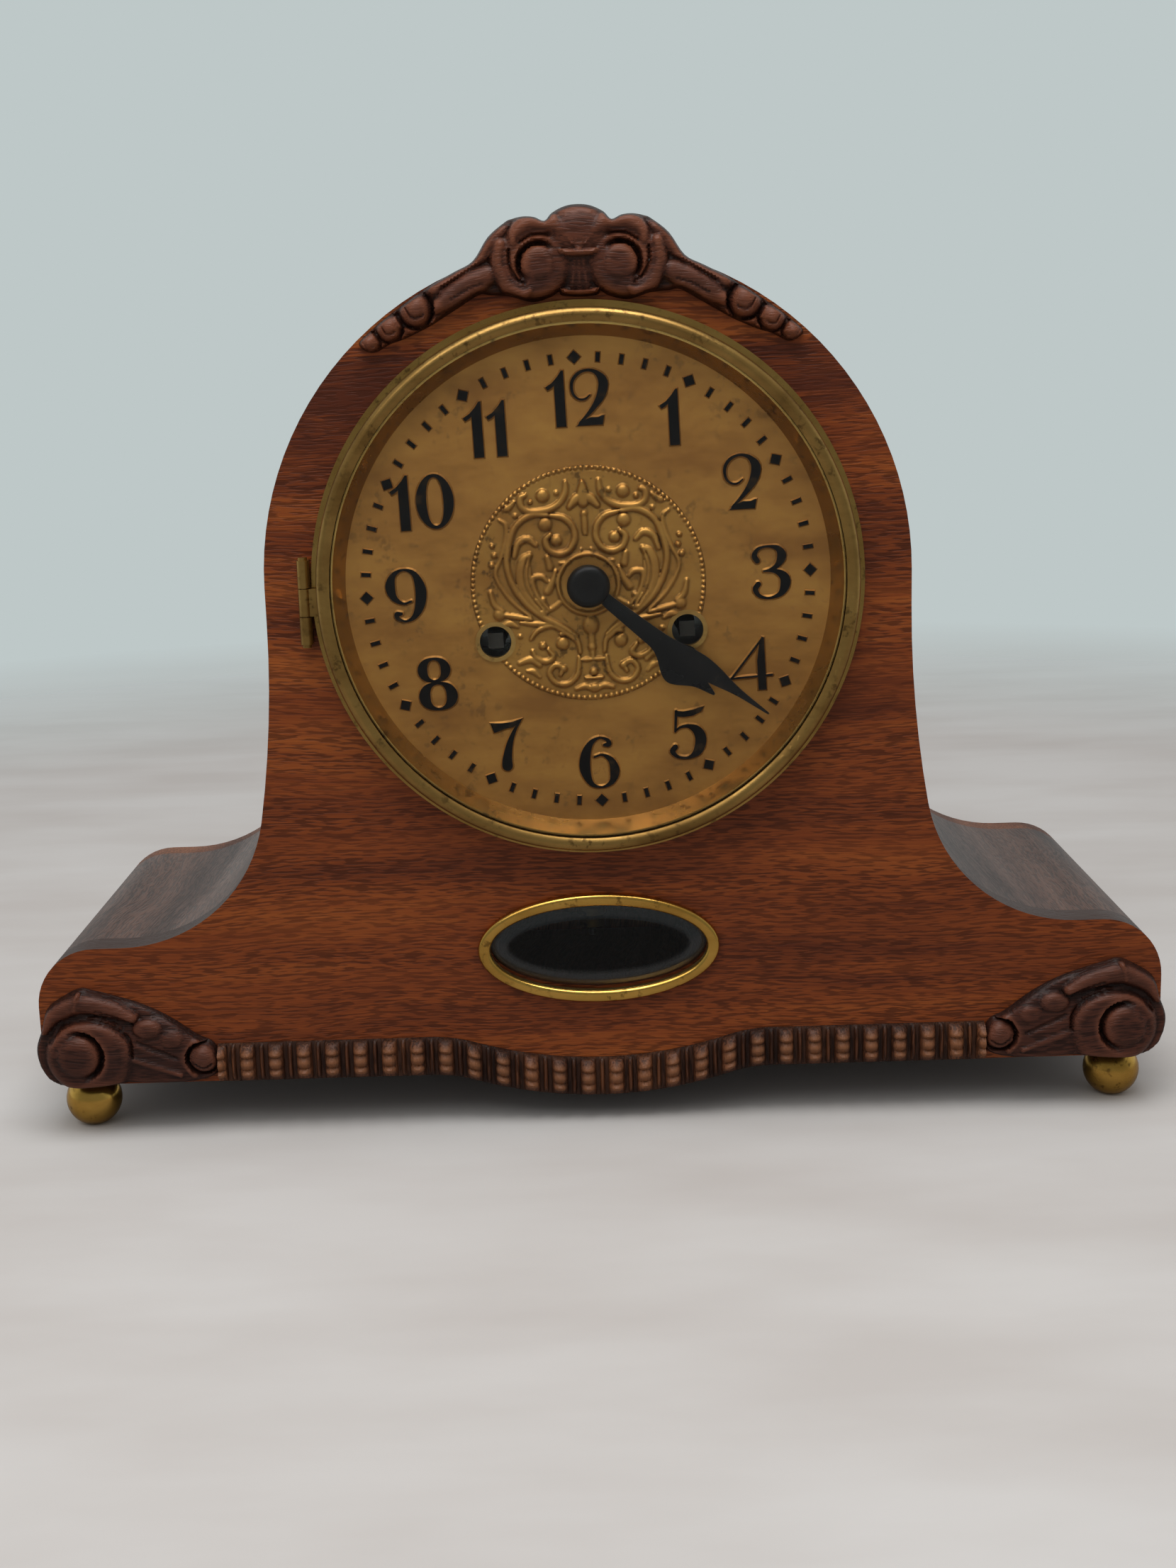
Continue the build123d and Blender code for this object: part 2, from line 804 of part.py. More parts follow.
with BuildPart() as window_glass:
    glass_edge = [radius - window_glass_clearance for radius in window_rebate]
    glass_floor = front.offset(-window_rebate_depth)
    with BuildSketch(glass_floor) as pane:
        with Locations(window_place):
            Ellipse(*glass_edge)
    extrude(amount=window_glass_thickness - window_bevel_depth)
    with BuildSketch(glass_floor.offset(window_glass_thickness - window_bevel_depth)) as bevel_foot:
        with Locations(window_place):
            Ellipse(*glass_edge)
    with BuildSketch(glass_floor.offset(window_glass_thickness)) as bevel_top:
        with Locations(window_place):
            Ellipse(glass_edge[0] - window_bevel_width, glass_edge[1] - window_bevel_width)
    loft([bevel_foot.sketch.face(), bevel_top.sketch.face()])
finish(window_glass, "window_glass")

# Dial plate, rosette and winding eyelets
winding_places = [time_place, strike_place]
eyelet_sleeve_radius = winding_hole_radius + eyelet_wall

with BuildPart() as dial_plate:
    disc(dial, dial_radius, dial_thickness)
    disc(dial, dial_centre_hole_radius, dial_thickness, mode=Mode.SUBTRACT)
    for place in winding_places:
        disc(dial, eyelet_sleeve_radius, dial_thickness, place, Mode.SUBTRACT)
finish(dial_plate, "dial_plate")

with BuildPart() as dial_rosette:
    face_plane = dial.offset(dial_thickness)
    disc(face_plane, rosette_radius, rosette_thickness + rosette_rim_height)
    disc(
        face_plane.offset(rosette_thickness),
        rosette_radius - rosette_rim_width,
        rosette_rim_height,
        mode=Mode.SUBTRACT,
    )
    disc(face_plane, rosette_boss_radius, rosette_thickness + rosette_boss_height)
    tall = rosette_thickness + rosette_rim_height + rosette_boss_height
    disc(face_plane, dial_centre_hole_radius, tall, mode=Mode.SUBTRACT)
    for place in winding_places:
        disc(face_plane, eyelet_flange_radius + rosette_eyelet_clearance, tall, place, Mode.SUBTRACT)
finish(dial_rosette, "dial_rosette")

with BuildPart() as winding_eyelets:
    for place in winding_places:
        disc(dial, eyelet_sleeve_radius, dial_thickness, place)
        disc(dial.offset(dial_thickness), eyelet_flange_radius, eyelet_flange_height, place)
        disc(dial, winding_hole_radius, dial_thickness + eyelet_flange_height, place, Mode.SUBTRACT)
finish(winding_eyelets, "winding_eyelets")

# Brass pan that clamps the dial's rim, with the sloped sight ring
sight_slope = (sight_top_radius - sight_radius) / (sight_height - dial_thickness)
with BuildPart() as dial_pan:
    turned((
        (sight_radius, dial_thickness),
        (dial_radius + pan_clearance, dial_thickness),
        (dial_radius + pan_clearance, 0),
        (pan_radius, 0),
        (pan_radius, pan_height),
        (sight_radius + sight_wall + sight_slope * (pan_height - dial_thickness), pan_height),
        (sight_top_radius + sight_wall, sight_height),
        (sight_top_radius, sight_height),
    ))
finish(dial_pan, "dial_pan")

# Bezel door: ring, convex glass and its retaining ring
bezel_back = pan_height + bezel_gap
glass_front_height = glass_back_height + glass_thickness
with BuildPart() as bezel_ring:
    with BuildSketch(dial_section) as section:
        with BuildLine():
            side_top = (bezel_radius, bezel_side_height)
            crest = (bezel_crest_radius, bezel_crest_height)
            lip = (bezel_lip_radius, glass_front_height + bezel_lip_flat)
            Polyline((bezel_bore_radius, glass_front_height), (bezel_bore_radius, bezel_back),
                     (bezel_radius, bezel_back), side_top)
            EllipticalCenterArc(
                (bezel_crest_radius, bezel_side_height),
                bezel_radius - bezel_crest_radius,
                bezel_crest_height - bezel_side_height,
                start_angle=0,
                arc_size=quarter_turn,
            )
            TangentArc(crest, lip, tangent=(-1, 0))
            Polyline(lip, (bezel_lip_radius, glass_front_height), (bezel_bore_radius, glass_front_height))
        make_face()
    revolve(axis=dial_axis)
finish(bezel_ring, "bezel_ring")


def dome_height(radius, rim_height):
    """Height of the glass dome's surface at a radius."""
    sphere = (glass_rim_radius ** 2 + glass_rise ** 2) / (2 * glass_rise)
    return rim_height + glass_rise - sphere + math.sqrt(sphere ** 2 - radius ** 2)


with BuildPart() as dial_glass:
    glass_radius = bezel_bore_radius - glass_clearance
    with BuildSketch(dial_section) as section:
        with BuildLine():
            middle = glass_rim_radius / 2
            ThreePointArc(
                (0, glass_back_height + glass_rise),
                (middle, dome_height(middle, glass_back_height)),
                (glass_rim_radius, glass_back_height),
            )
            Polyline(
                (glass_rim_radius, glass_back_height),
                (glass_radius, glass_back_height),
                (glass_radius, glass_front_height),
                (glass_rim_radius, glass_front_height),
            )
            ThreePointArc(
                (glass_rim_radius, glass_front_height),
                (middle, dome_height(middle, glass_front_height)),
                (0, glass_front_height + glass_rise),
            )
            Line((0, glass_front_height + glass_rise), (0, glass_back_height + glass_rise))
        make_face()
    revolve(axis=dial_axis)
finish(dial_glass, "dial_glass")

with BuildPart() as glass_retainer:
    retainer_back = glass_back_height - retainer_thickness
    turned((
        (retainer_radius, retainer_back),
        (glass_radius, retainer_back),
        (glass_radius, glass_back_height),
        (retainer_radius, glass_back_height),
    ))
finish(glass_retainer, "glass_retainer")

# Bezel hinge: leaf on the board, leaf on the bezel and the pin
bezel_hinge = (-bezel_hinge_offset, front_y - bezel_hinge_height)
bezel_hinge_middle = dial_height - bezel_hinge_drop
bezel_ends, bezel_inner = hinge_levels(bezel_hinge_middle, bezel_hinge_length)
bezel_pin_bore = hinge_pin_radius + hinge_running_clearance

with BuildPart() as bezel_hinge_leaf:
    leaf_right = -pan_radius - bezel_leaf_gap
    leaf_left = leaf_right - bezel_leaf_reach - knuckle_radius
    plate(
        front,
        leaf_right - leaf_left,
        bezel_hinge_length,
        bezel_leaf_thickness,
        ((leaf_left + leaf_right) / 2, bezel_hinge_middle),
    )
    for low, high in bezel_ends:
        web_right = -bezel_hinge_offset
        web_left = web_right - knuckle_radius
        plate(
            front.offset(bezel_leaf_thickness),
            web_right - web_left,
            high - low,
            bezel_hinge_height - bezel_leaf_thickness,
            ((web_left + web_right) / 2, (low + high) / 2),
        )
        knuckle(bezel_hinge, low, high, hinge_pin_radius)
finish(bezel_hinge_leaf, "bezel_hinge_leaf")

with BuildPart() as bezel_hinge_strap:
    low, high = bezel_inner
    strap_right = -bezel_crest_radius
    plate(
        front.offset(bezel_hinge_height - bezel_strap_thickness / 2),
        bezel_hinge_offset + strap_right,
        high - low,
        bezel_strap_thickness,
        ((strap_right - bezel_hinge_offset) / 2, (low + high) / 2),
    )
    disc(front, bezel_radius, bezel_crest_height, (0, dial_height), Mode.SUBTRACT)
    knuckle(bezel_hinge, low, high, bezel_pin_bore)
finish(bezel_hinge_strap, "bezel_hinge_strap")

with BuildPart() as bezel_hinge_pin:
    hinge_pin(bezel_hinge, bezel_ends[0][0], bezel_ends[1][1])
finish(bezel_hinge_pin, "bezel_hinge_pin")

# Back door with its knob, hinge leaves and pins
with BuildPart() as back_door:
    extrude(door_face(back, door_clearance), amount=-door_thickness)
finish(back_door, "back_door")

with BuildPart() as back_door_knob:
    knob_place = (door_half_width - door_clearance - knob_inset, knob_height)
    disc(back, knob_neck_radius, knob_neck_length, knob_place)
    disc(back.offset(knob_neck_length), knob_radius, knob_length - knob_neck_length, knob_place)
    fillet(back_door_knob.faces().sort_by(Axis.Y)[-1].edges(), knob_rounding)
finish(back_door_knob, "back_door_knob")

door_axis_x = door_half_width - door_clearance / 2
door_hinge = (door_axis_x, back_y + door_hinge_stand_off)


def door_leaf(side, levels, middle, bore):
    """One leaf of a back door hinge, on the frame or on the door, with its knuckles."""
    near = -door_axis_x - side * door_leaf_gap
    far = near - side * door_leaf_width
    plate(
        back,
        door_leaf_width,
        door_hinge_length,
        door_leaf_thickness,
        ((near + far) / 2, middle),
    )
    for low, high in levels:
        plate(
            back,
            door_leaf_gap,
            high - low,
            door_leaf_thickness,
            (near + side * door_leaf_gap / 2, (low + high) / 2),
        )
        knuckle(door_hinge, low, high, bore)


with BuildPart() as frame_hinge_leaves:
    for middle in door_hinge_heights:
        ends, inner = hinge_levels(middle, door_hinge_length)
        door_leaf(1, ends, middle, hinge_pin_radius)
finish(frame_hinge_leaves, "frame_hinge_leaves")

with BuildPart() as door_hinge_leaves:
    for middle in door_hinge_heights:
        ends, inner = hinge_levels(middle, door_hinge_length)
        door_leaf(-1, (inner,), middle, hinge_pin_radius + hinge_running_clearance)
finish(door_hinge_leaves, "door_hinge_leaves")

with BuildPart() as door_hinge_pins:
    for middle in door_hinge_heights:
        hinge_pin(door_hinge, middle - door_hinge_length / 2, middle + door_hinge_length / 2)
finish(door_hinge_pins, "door_hinge_pins")


# Hands on the dial
def hand(angle, height, length, half_width, shares, hub_radius, bore):
    """Hand with a round hub, a straight bar and a leaf that ends in a point."""
    turned_by = math.radians(angle)
    across = dial.x_dir * math.cos(turned_by) - dial.y_dir * math.sin(turned_by)
    plane = Plane(origin=dial.offset(height).origin, x_dir=across, z_dir=dial.z_dir)
    leaf = [(share[1] * half_width, share[0] * length) for share in shares]
    with BuildSketch(plane) as outline:
        with BuildLine():
            start = (leaf[0][0], hand_bar_start_share * length)
            Line((0, start[1]), start)
            Line(start, leaf[0])
            Spline(*leaf, tangents=((0, 1), (leaf[-1][0] - leaf[-2][0], leaf[-1][1] - leaf[-2][1])))
            Line(leaf[-1], (0, length))
            mirror(about=Plane.YZ)
        make_face()
        Circle(hub_radius)
        Circle(bore, mode=Mode.SUBTRACT)
    extrude(outline.sketch, amount=hand_thickness)


with BuildPart() as minute_hand:
    hand(minute_hand_angle, minute_hand_height, minute_hand_length, minute_hand_half_width,
         minute_outline_shares, minute_hub_radius, arbor_radius)
finish(minute_hand, "minute_hand")

with BuildPart() as hour_hand:
    hand(hour_hand_angle, hour_hand_height, hour_hand_length, hour_hand_half_width,
         hour_outline_shares, hour_hub_radius, hour_pipe_radius)
finish(hour_hand, "hour_hand")

nut_back = minute_hand_height + hand_thickness
with BuildPart() as hand_nut:
    disc(dial.offset(nut_back), hand_nut_radius, hand_nut_height)
    fillet(hand_nut.faces().sort_by(Axis.Y)[0].edges(), hand_nut_rounding)
    disc(dial.offset(nut_back), arbor_radius, hand_nut_height / 2, mode=Mode.SUBTRACT)
finish(hand_nut, "hand_nut")

# Centre arbor with the drive pinion, the cannon pipe and the cannon pinion
with BuildPart() as centre_arbor:
    arbor(centre_place, plate_rear_face, nut_back + hand_nut_height / 2, arbor_radius)
    arbor(centre_place, plate_rear, plate_rear_face, pivot_radius)
    pinion(
        drive_pinion_teeth,
        great_module,
        centre_place,
        barrel_front + pinion_overlap,
        great_thickness + 2 * pinion_overlap,
        time_bearing + 180,
    )
    pinion(
        cannon_teeth,
        motion_module,
        centre_place,
        cannon_front,
        wheel_thickness,
        motion_bearing,
    )
    arbor(centre_place, cannon_front, minute_hand_height, cannon_pipe_radius)
finish(centre_arbor, "centre_arbor")

with BuildPart() as centre_wheel:
    wheel(train_teeth, train_module, centre_place, centre_wheel_front, wheel_thickness, third_bearing)
    arbor(centre_place, centre_wheel_front - wheel_thickness, centre_wheel_front, centre_hub_radius)
    disc(
        dial.offset(centre_wheel_front),
        arbor_radius,
        -wheel_thickness,
        centre_place,
        Mode.SUBTRACT,
    )
finish(centre_wheel, "centre_wheel")

# Motion work: minute wheel on its stud and hour wheel on its pipe
with BuildPart() as minute_wheel:
    wheel(
        minute_wheel_teeth,
        motion_module,
        minute_wheel_place,
        cannon_front,
        wheel_thickness,
        motion_bearing + 180,
    )
    pinion(
        minute_pinion_teeth,
        hour_module,
        minute_wheel_place,
        hour_wheel_front,
        hour_wheel_front - cannon_front,
        motion_bearing + 180,
    )
    disc(
        dial.offset(hour_wheel_front),
        minute_stud_radius + running_clearance,
        cannon_front - wheel_thickness - hour_wheel_front,
        minute_wheel_place,
        Mode.SUBTRACT,
    )
finish(minute_wheel, "minute_wheel")

with BuildPart() as hour_wheel:
    wheel(hour_wheel_teeth, hour_module, centre_place, hour_wheel_front, wheel_thickness, motion_bearing)
    arbor(centre_place, hour_wheel_front - wheel_thickness, hour_hand_height + hand_thickness, hour_pipe_radius)
    disc(
        dial.offset(hour_hand_height + hand_thickness),
        cannon_pipe_radius + hour_pipe_clearance,
        hour_wheel_front - wheel_thickness - hour_hand_height - hand_thickness,
        centre_place,
        Mode.SUBTRACT,
    )
finish(hour_wheel, "hour_wheel")

# Plates, pillars, nuts and posts of the movement
pivot_places = [third_place, escape_place, strike_wheel_place, fly_place]


def movement_plate(top, holes):
    """Brass plate with its front face at a depth, with a round hole for each place and radius."""
    with BuildSketch(dial.offset(top)) as outline:
        with Locations((0, (plate_top + plate_bottom) / 2)):
            RectangleRounded(plate_width, plate_top - plate_bottom, plate_corner_radius)
        for place, radius in holes:
            with Locations(place):
                Circle(radius, mode=Mode.SUBTRACT)
    extrude(outline.sketch, amount=-plate_thickness)


shared_holes = [(place, pivot_radius + running_clearance) for place in pivot_places]
shared_holes += [(place, pillar_stub_radius) for place in pillar_places]
with BuildPart() as movement_front_plate:
    movement_plate(
        plate_front,
        shared_holes
        + [(centre_place, arbor_radius + running_clearance)]
        + [(place, winding_arbor_radius + running_clearance) for place in winding_places]
        + [(anchor_place, pivot_radius + running_clearance)],
    )
    arbor(minute_wheel_place, plate_front, hour_wheel_front + pinion_overlap, minute_stud_radius)
finish(movement_front_plate, "movement_front_plate")

with BuildPart() as movement_back_plate:
    movement_plate(
        plate_rear_face,
        shared_holes
        + [(centre_place, pivot_radius + running_clearance)]
        + [(place, winding_pivot_radius + running_clearance) for place in winding_places]
        + [(anchor_place, arbor_radius + running_clearance)]
        + [(hammer_place, hammer_arbor_radius + running_clearance)],
    )
finish(movement_back_plate, "movement_back_plate")

with BuildPart() as movement_pillars:
    for place in pillar_places:
        arbor(place, plate_rear_face, plate_front_inner, pillar_radius)
        arbor(place, plate_rear - nut_height, plate_front + nut_height, pillar_stub_radius)
finish(movement_pillars, "movement_pillars")

with BuildPart() as pillar_nuts:
    for top in (plate_front + nut_height, plate_rear):
        with BuildSketch(dial.offset(top)) as hexes:
            with Locations(*pillar_places):
                RegularPolygon(nut_radius, 6)
                Circle(pillar_stub_radius, mode=Mode.SUBTRACT)
        extrude(hexes.sketch, amount=-nut_height)
finish(pillar_nuts, "pillar_nuts")

with BuildPart() as movement_posts:
    for place in post_places:
        arbor(place, plate_front, -board_thickness, post_radius)
finish(movement_posts, "movement_posts")

# Spring barrels, mainsprings, winding arbors and ratchets, the time side and the strike side
barrel_length = barrel_front - barrel_back
drum_inner_radius = barrel_radius - barrel_wall
ratchet_back = ratchet_front - ratchet_thickness
trains = (
    ("time", time_place, barrel_front, time_bearing),
    ("strike", strike_place, barrel_back + great_thickness, strike_bearing),
)
for train, place, great_front, bearing in trains:
    with BuildPart() as barrel:
        outlined(
            dial.offset(great_front - great_thickness),
            gear_points(great_teeth, great_module, place, bearing),
            great_thickness,
        )
        disc(dial.offset(barrel_back), barrel_radius, barrel_length, place)
        disc(
            dial.offset(barrel_back + barrel_wall),
            drum_inner_radius,
            barrel_length - barrel_wall - great_thickness,
            place,
            Mode.SUBTRACT,
        )
        disc(
            dial.offset(barrel_back),
            winding_arbor_radius + running_clearance,
            barrel_length,
            place,
            Mode.SUBTRACT,
        )
    finish(barrel, f"{train}_barrel")

    with BuildPart() as mainspring:
        spring_back = barrel_back + barrel_wall + mainspring_clearance
        spring_front = barrel_front - great_thickness - mainspring_clearance
        arbor(place, spring_back, spring_front, drum_inner_radius - mainspring_clearance)
        disc(
            dial.offset(spring_back),
            arbor_core_radius + mainspring_clearance,
            spring_front - spring_back,
            place,
            Mode.SUBTRACT,
        )
    finish(mainspring, f"{train}_mainspring")

    with BuildPart() as winding_arbor:
        arbor(place, plate_rear_face, winding_square_start, winding_arbor_radius)
        arbor(place, plate_rear, plate_rear_face, winding_pivot_radius)
        arbor(place, spring_back, spring_front, arbor_core_radius)
        plate(
            dial.offset(winding_square_start),
            winding_square,
            winding_square,
            winding_square_end - winding_square_start,
            place,
        )
    finish(winding_arbor, f"{train}_winding_arbor")

    with BuildPart() as ratchet:
        outlined(
            dial.offset(ratchet_back),
            saw_points(ratchet_teeth, ratchet_radius, ratchet_root_radius, place),
            ratchet_thickness,
        )
        disc(dial.offset(ratchet_back), winding_arbor_radius, ratchet_thickness, place, Mode.SUBTRACT)
    finish(ratchet, f"{train}_ratchet_wheel")

click_rise = ratchet_radius + click_clearance + click_width / 2
with BuildPart() as ratchet_clicks:
    for place in winding_places:
        click_place = (place[0], place[1] - click_rise)
        with BuildSketch(dial.offset(plate_front)) as outline:
            with Locations(click_place):
                SlotOverall(click_length, click_width)
        extrude(outline.sketch, amount=ratchet_front - plate_front)
finish(ratchet_clicks, "ratchet_clicks")

# Third wheel and escape wheel
with BuildPart() as third_wheel:
    pivoted_arbor(third_place)
    wheel(train_teeth, train_module, third_place, third_wheel_front, wheel_thickness, escape_bearing)
    pinion(
        train_pinion_teeth,
        train_module,
        third_place,
        centre_wheel_front + pinion_overlap,
        wheel_thickness + 2 * pinion_overlap,
        third_bearing + 180,
    )
finish(third_wheel, "third_wheel")

with BuildPart() as escape_wheel:
    pivoted_arbor(escape_place)
    outlined(
        dial.offset(escape_front - escape_thickness),
        saw_points(escape_teeth, escape_radius, escape_root_radius, escape_place),
        escape_thickness,
    )
    pinion(
        train_pinion_teeth,
        train_module,
        escape_place,
        third_wheel_front + pinion_overlap,
        wheel_thickness + 2 * pinion_overlap,
        escape_bearing + 180,
    )
finish(escape_wheel, "escape_wheel")

# Strike wheel and fly
with BuildPart() as strike_wheel:
    pivoted_arbor(strike_wheel_place)
    wheel(strike_teeth, strike_module, strike_wheel_place, strike_wheel_front, wheel_thickness, fly_bearing)
    pinion(
        drive_pinion_teeth,
        great_module,
        strike_wheel_place,
        barrel_back + great_thickness + pinion_overlap,
        great_thickness + 2 * pinion_overlap,
        strike_bearing + 180,
    )
finish(strike_wheel, "strike_wheel")

with BuildPart() as strike_fly:
    pivoted_arbor(fly_place)
    pinion(
        strike_pinion_teeth,
        strike_module,
        fly_place,
        strike_wheel_front + pinion_overlap,
        wheel_thickness + 2 * pinion_overlap,
        fly_bearing + 180,
    )
    plate(dial.offset(fly_front - fly_length), 2 * fly_radius, fly_thickness, fly_length, fly_place)
finish(strike_fly, "strike_fly")

# Anchor above the escape wheel, with its arbor and the crutch behind the back plate
anchor_inner = escape_radius + anchor_clearance
with BuildPart() as anchor_and_crutch:
    arbor(anchor_place, plate_rear_face, plate_front_inner, arbor_radius)
    arbor(anchor_place, plate_front_inner, plate_front, pivot_radius)
    arbor(anchor_place, crutch_front - crutch_thickness, plate_rear_face, arbor_radius)
    with BuildSketch(dial.offset(escape_front - escape_thickness)) as anchor:
        with BuildLine():
            for reach in (anchor_inner, anchor_inner + anchor_width):
                CenterArc(escape_place, reach, quarter_turn - anchor_half_angle, 2 * anchor_half_angle)
            for angle in (quarter_turn - anchor_half_angle, quarter_turn + anchor_half_angle):
                Line(
                    polar(escape_place, anchor_inner, angle),
                    polar(escape_place, anchor_inner + anchor_width, angle),
                )
        make_face()
        with Locations(anchor_place):
            Circle(anchor_hub_radius)
    extrude(anchor.sketch, amount=anchor_thickness)
    plate(
        hang.offset(crutch_front - crutch_thickness),
        crutch_width,
        crutch_length,
        crutch_thickness,
        (0, -crutch_length / 2),
    )
    prong_inner = pendulum_rod_radius + crutch_prong_clearance
    prong_depth = crutch_front - pendulum_depth + pendulum_rod_radius
    plate(
        hang.offset(crutch_front - crutch_thickness),
        2 * (prong_inner + crutch_prong_width),
        crutch_width,
        crutch_thickness,
        (0, -crutch_length + crutch_width / 2),
    )
    for side in (-1, 1):
        plate(
            hang.offset(crutch_front - prong_depth),
            crutch_prong_width,
            crutch_width,
            prong_depth,
            (side * (prong_inner + crutch_prong_width / 2), -crutch_length + crutch_width / 2),
        )
finish(anchor_and_crutch, "anchor_and_crutch")

# Suspension cock on the back plate
cock_back = pendulum_depth - suspension_width / 2
with BuildPart() as suspension_cock:
    plate(
        hang.offset(cock_back),
        cock_width,
        cock_height,
        plate_rear - cock_back,
        (0, cock_drop + cock_height / 2),
    )
finish(suspension_cock, "suspension_cock")

# Pendulum: spring and rod, bob and rating nut
case_floor = foot_height + bottom_thickness
rod_end = anchor_point.Z - case_floor - pendulum_floor_gap
pendulum_length = rod_end - bob_radius - rating_thread_length
with BuildPart() as pendulum_rod:
    plate(
        hang.offset(pendulum_depth - suspension_width / 2),
        suspension_thickness,
        cock_drop - cock_gap + suspension_length,
        suspension_width,
        (0, (cock_drop - cock_gap - suspension_length) / 2),
    )
    rod_top = suspension_length - pendulum_rod_radius
    rod_middle = hang.from_local_coords((0, -rod_top, pendulum_depth))
    with BuildSketch(Plane(origin=rod_middle, x_dir=(1, 0, 0), z_dir=(0, 0, -1))) as section:
        Circle(pendulum_rod_radius)
    extrude(section.sketch, amount=rod_end - rod_top)
finish(pendulum_rod, "pendulum_rod")

bob_place = (0, -pendulum_length)
bore_top = hang.from_local_coords((0, -pendulum_length + bob_radius, pendulum_depth))
with BuildPart() as pendulum_bob:
    disc(hang.offset(pendulum_depth - bob_thickness / 2), bob_radius, bob_thickness, bob_place)
    fillet(pendulum_bob.edges().filter_by(GeomType.CIRCLE), bob_rounding)
    with BuildSketch(Plane(origin=bore_top, x_dir=(1, 0, 0), z_dir=(0, 0, -1))) as bore:
        Circle(pendulum_rod_radius)
    extrude(bore.sketch, amount=2 * bob_radius, mode=Mode.SUBTRACT)
finish(pendulum_bob, "pendulum_bob")

nut_top = hang.from_local_coords((0, -pendulum_length - bob_radius, pendulum_depth))
with BuildPart() as rating_nut:
    with BuildSketch(Plane(origin=nut_top, x_dir=(1, 0, 0), z_dir=(0, 0, -1))) as section:
        Circle(rating_nut_radius)
        Circle(pendulum_rod_radius, mode=Mode.SUBTRACT)
    extrude(section.sketch, amount=rating_nut_height)
finish(rating_nut, "rating_nut")

# Gong rods in their block on the bottom board, and the hammer above them
gong_y = front_y - gong_rod_depth
with BuildPart() as gong_block:
    plate(
        Plane.XY.offset(case_floor),
        gong_block_width,
        gong_block_depth,
        gong_block_height,
        (gong_block_place, gong_y),
    )
finish(gong_block, "gong_block")

gong_face = gong_block_place - gong_block_width / 2
with BuildPart() as gong_rods:
    with BuildSketch(Plane(origin=(gong_face, gong_y, gong_rod_height), x_dir=(0, 1, 0), z_dir=(-1, 0, 0))):
        with GridLocations(gong_rod_pitch, 0, gong_rod_count, 1):
            Circle(gong_rod_radius)
    extrude(amount=gong_rod_length)
finish(gong_rods, "gong_rods")

hammer_point = dial.from_local_coords((hammer_place[0], hammer_place[1], 0))
hammer_head_x = -hammer_reach
hammer_head_low = gong_rod_height + gong_rod_radius + hammer_gap
with BuildPart() as strike_hammer:
    arm_back = gong_rod_depth - hammer_arm_thickness / 2
    arbor(hammer_place, arm_back, plate_rear_face, hammer_arbor_radius)
    head_top = hammer_head_low + hammer_head_length
    with BuildSketch(front.offset(arm_back)) as arm:
        with BuildLine():
            Line((hammer_point.X, hammer_point.Z), (hammer_head_x, head_top - hammer_arm_width))
        trace(line_width=hammer_arm_width)
        with Locations((hammer_point.X, hammer_point.Z)):
            Circle(hammer_arm_width)
    extrude(arm.sketch, amount=hammer_arm_thickness)
    disc(
        Plane.XY.offset(hammer_head_low),
        hammer_head_radius,
        hammer_head_length,
        (hammer_head_x, gong_y),
    )
finish(strike_hammer, "strike_hammer")
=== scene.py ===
"""Dresses an arched oak shelf clock: carvings, dial work, finishes, camera and light."""

import json
import logging
import math
from collections.abc import Callable, Iterable, Sequence
from dataclasses import dataclass
from enum import Enum

import bpy
import numpy as np
from mathutils import Matrix, Vector
from mathutils.geometry import delaunay_2d_cdt


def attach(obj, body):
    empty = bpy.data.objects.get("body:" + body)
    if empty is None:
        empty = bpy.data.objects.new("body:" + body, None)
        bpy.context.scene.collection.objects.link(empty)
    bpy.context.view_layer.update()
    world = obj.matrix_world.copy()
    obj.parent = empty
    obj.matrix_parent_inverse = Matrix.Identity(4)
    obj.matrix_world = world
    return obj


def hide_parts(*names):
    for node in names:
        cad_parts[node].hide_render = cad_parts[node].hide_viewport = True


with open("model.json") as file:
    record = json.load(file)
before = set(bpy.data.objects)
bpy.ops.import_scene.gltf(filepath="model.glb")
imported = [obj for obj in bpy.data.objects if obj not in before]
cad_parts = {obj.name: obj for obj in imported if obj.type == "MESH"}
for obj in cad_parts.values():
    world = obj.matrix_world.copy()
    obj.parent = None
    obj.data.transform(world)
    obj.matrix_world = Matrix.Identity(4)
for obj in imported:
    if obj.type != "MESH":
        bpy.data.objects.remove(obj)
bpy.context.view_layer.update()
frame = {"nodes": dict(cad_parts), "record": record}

log = logging.getLogger("shelf_clock")

MM = 0.001
BOARD_FACE = -66.8
DIAL_HEIGHT = 184.0
DIAL_TURN = math.radians(2.0)
PLATE_FACE = 1.2
RUN_LENGTH = 60
TINY = 1e-6
THINNEST = 0.3
SUNK = 0.3

Point = tuple[float, ...]
Colour = tuple[float, float, float, float]


def srgb(red: int, green: int, blue: int) -> Colour:
    """Turns a colour read on a screen into a shader colour.

    Args:
        red: Red from 0 to 255.
        green: Green from 0 to 255.
        blue: Blue from 0 to 255.

    Returns:
        The linear colour with full alpha.
    """
    parts = [value / 255 for value in (red, green, blue)]
    line = [p / 12.92 if p <= 0.04045 else ((p + 0.055) / 1.055) ** 2.4 for p in parts]
    return (*line, 1.0)


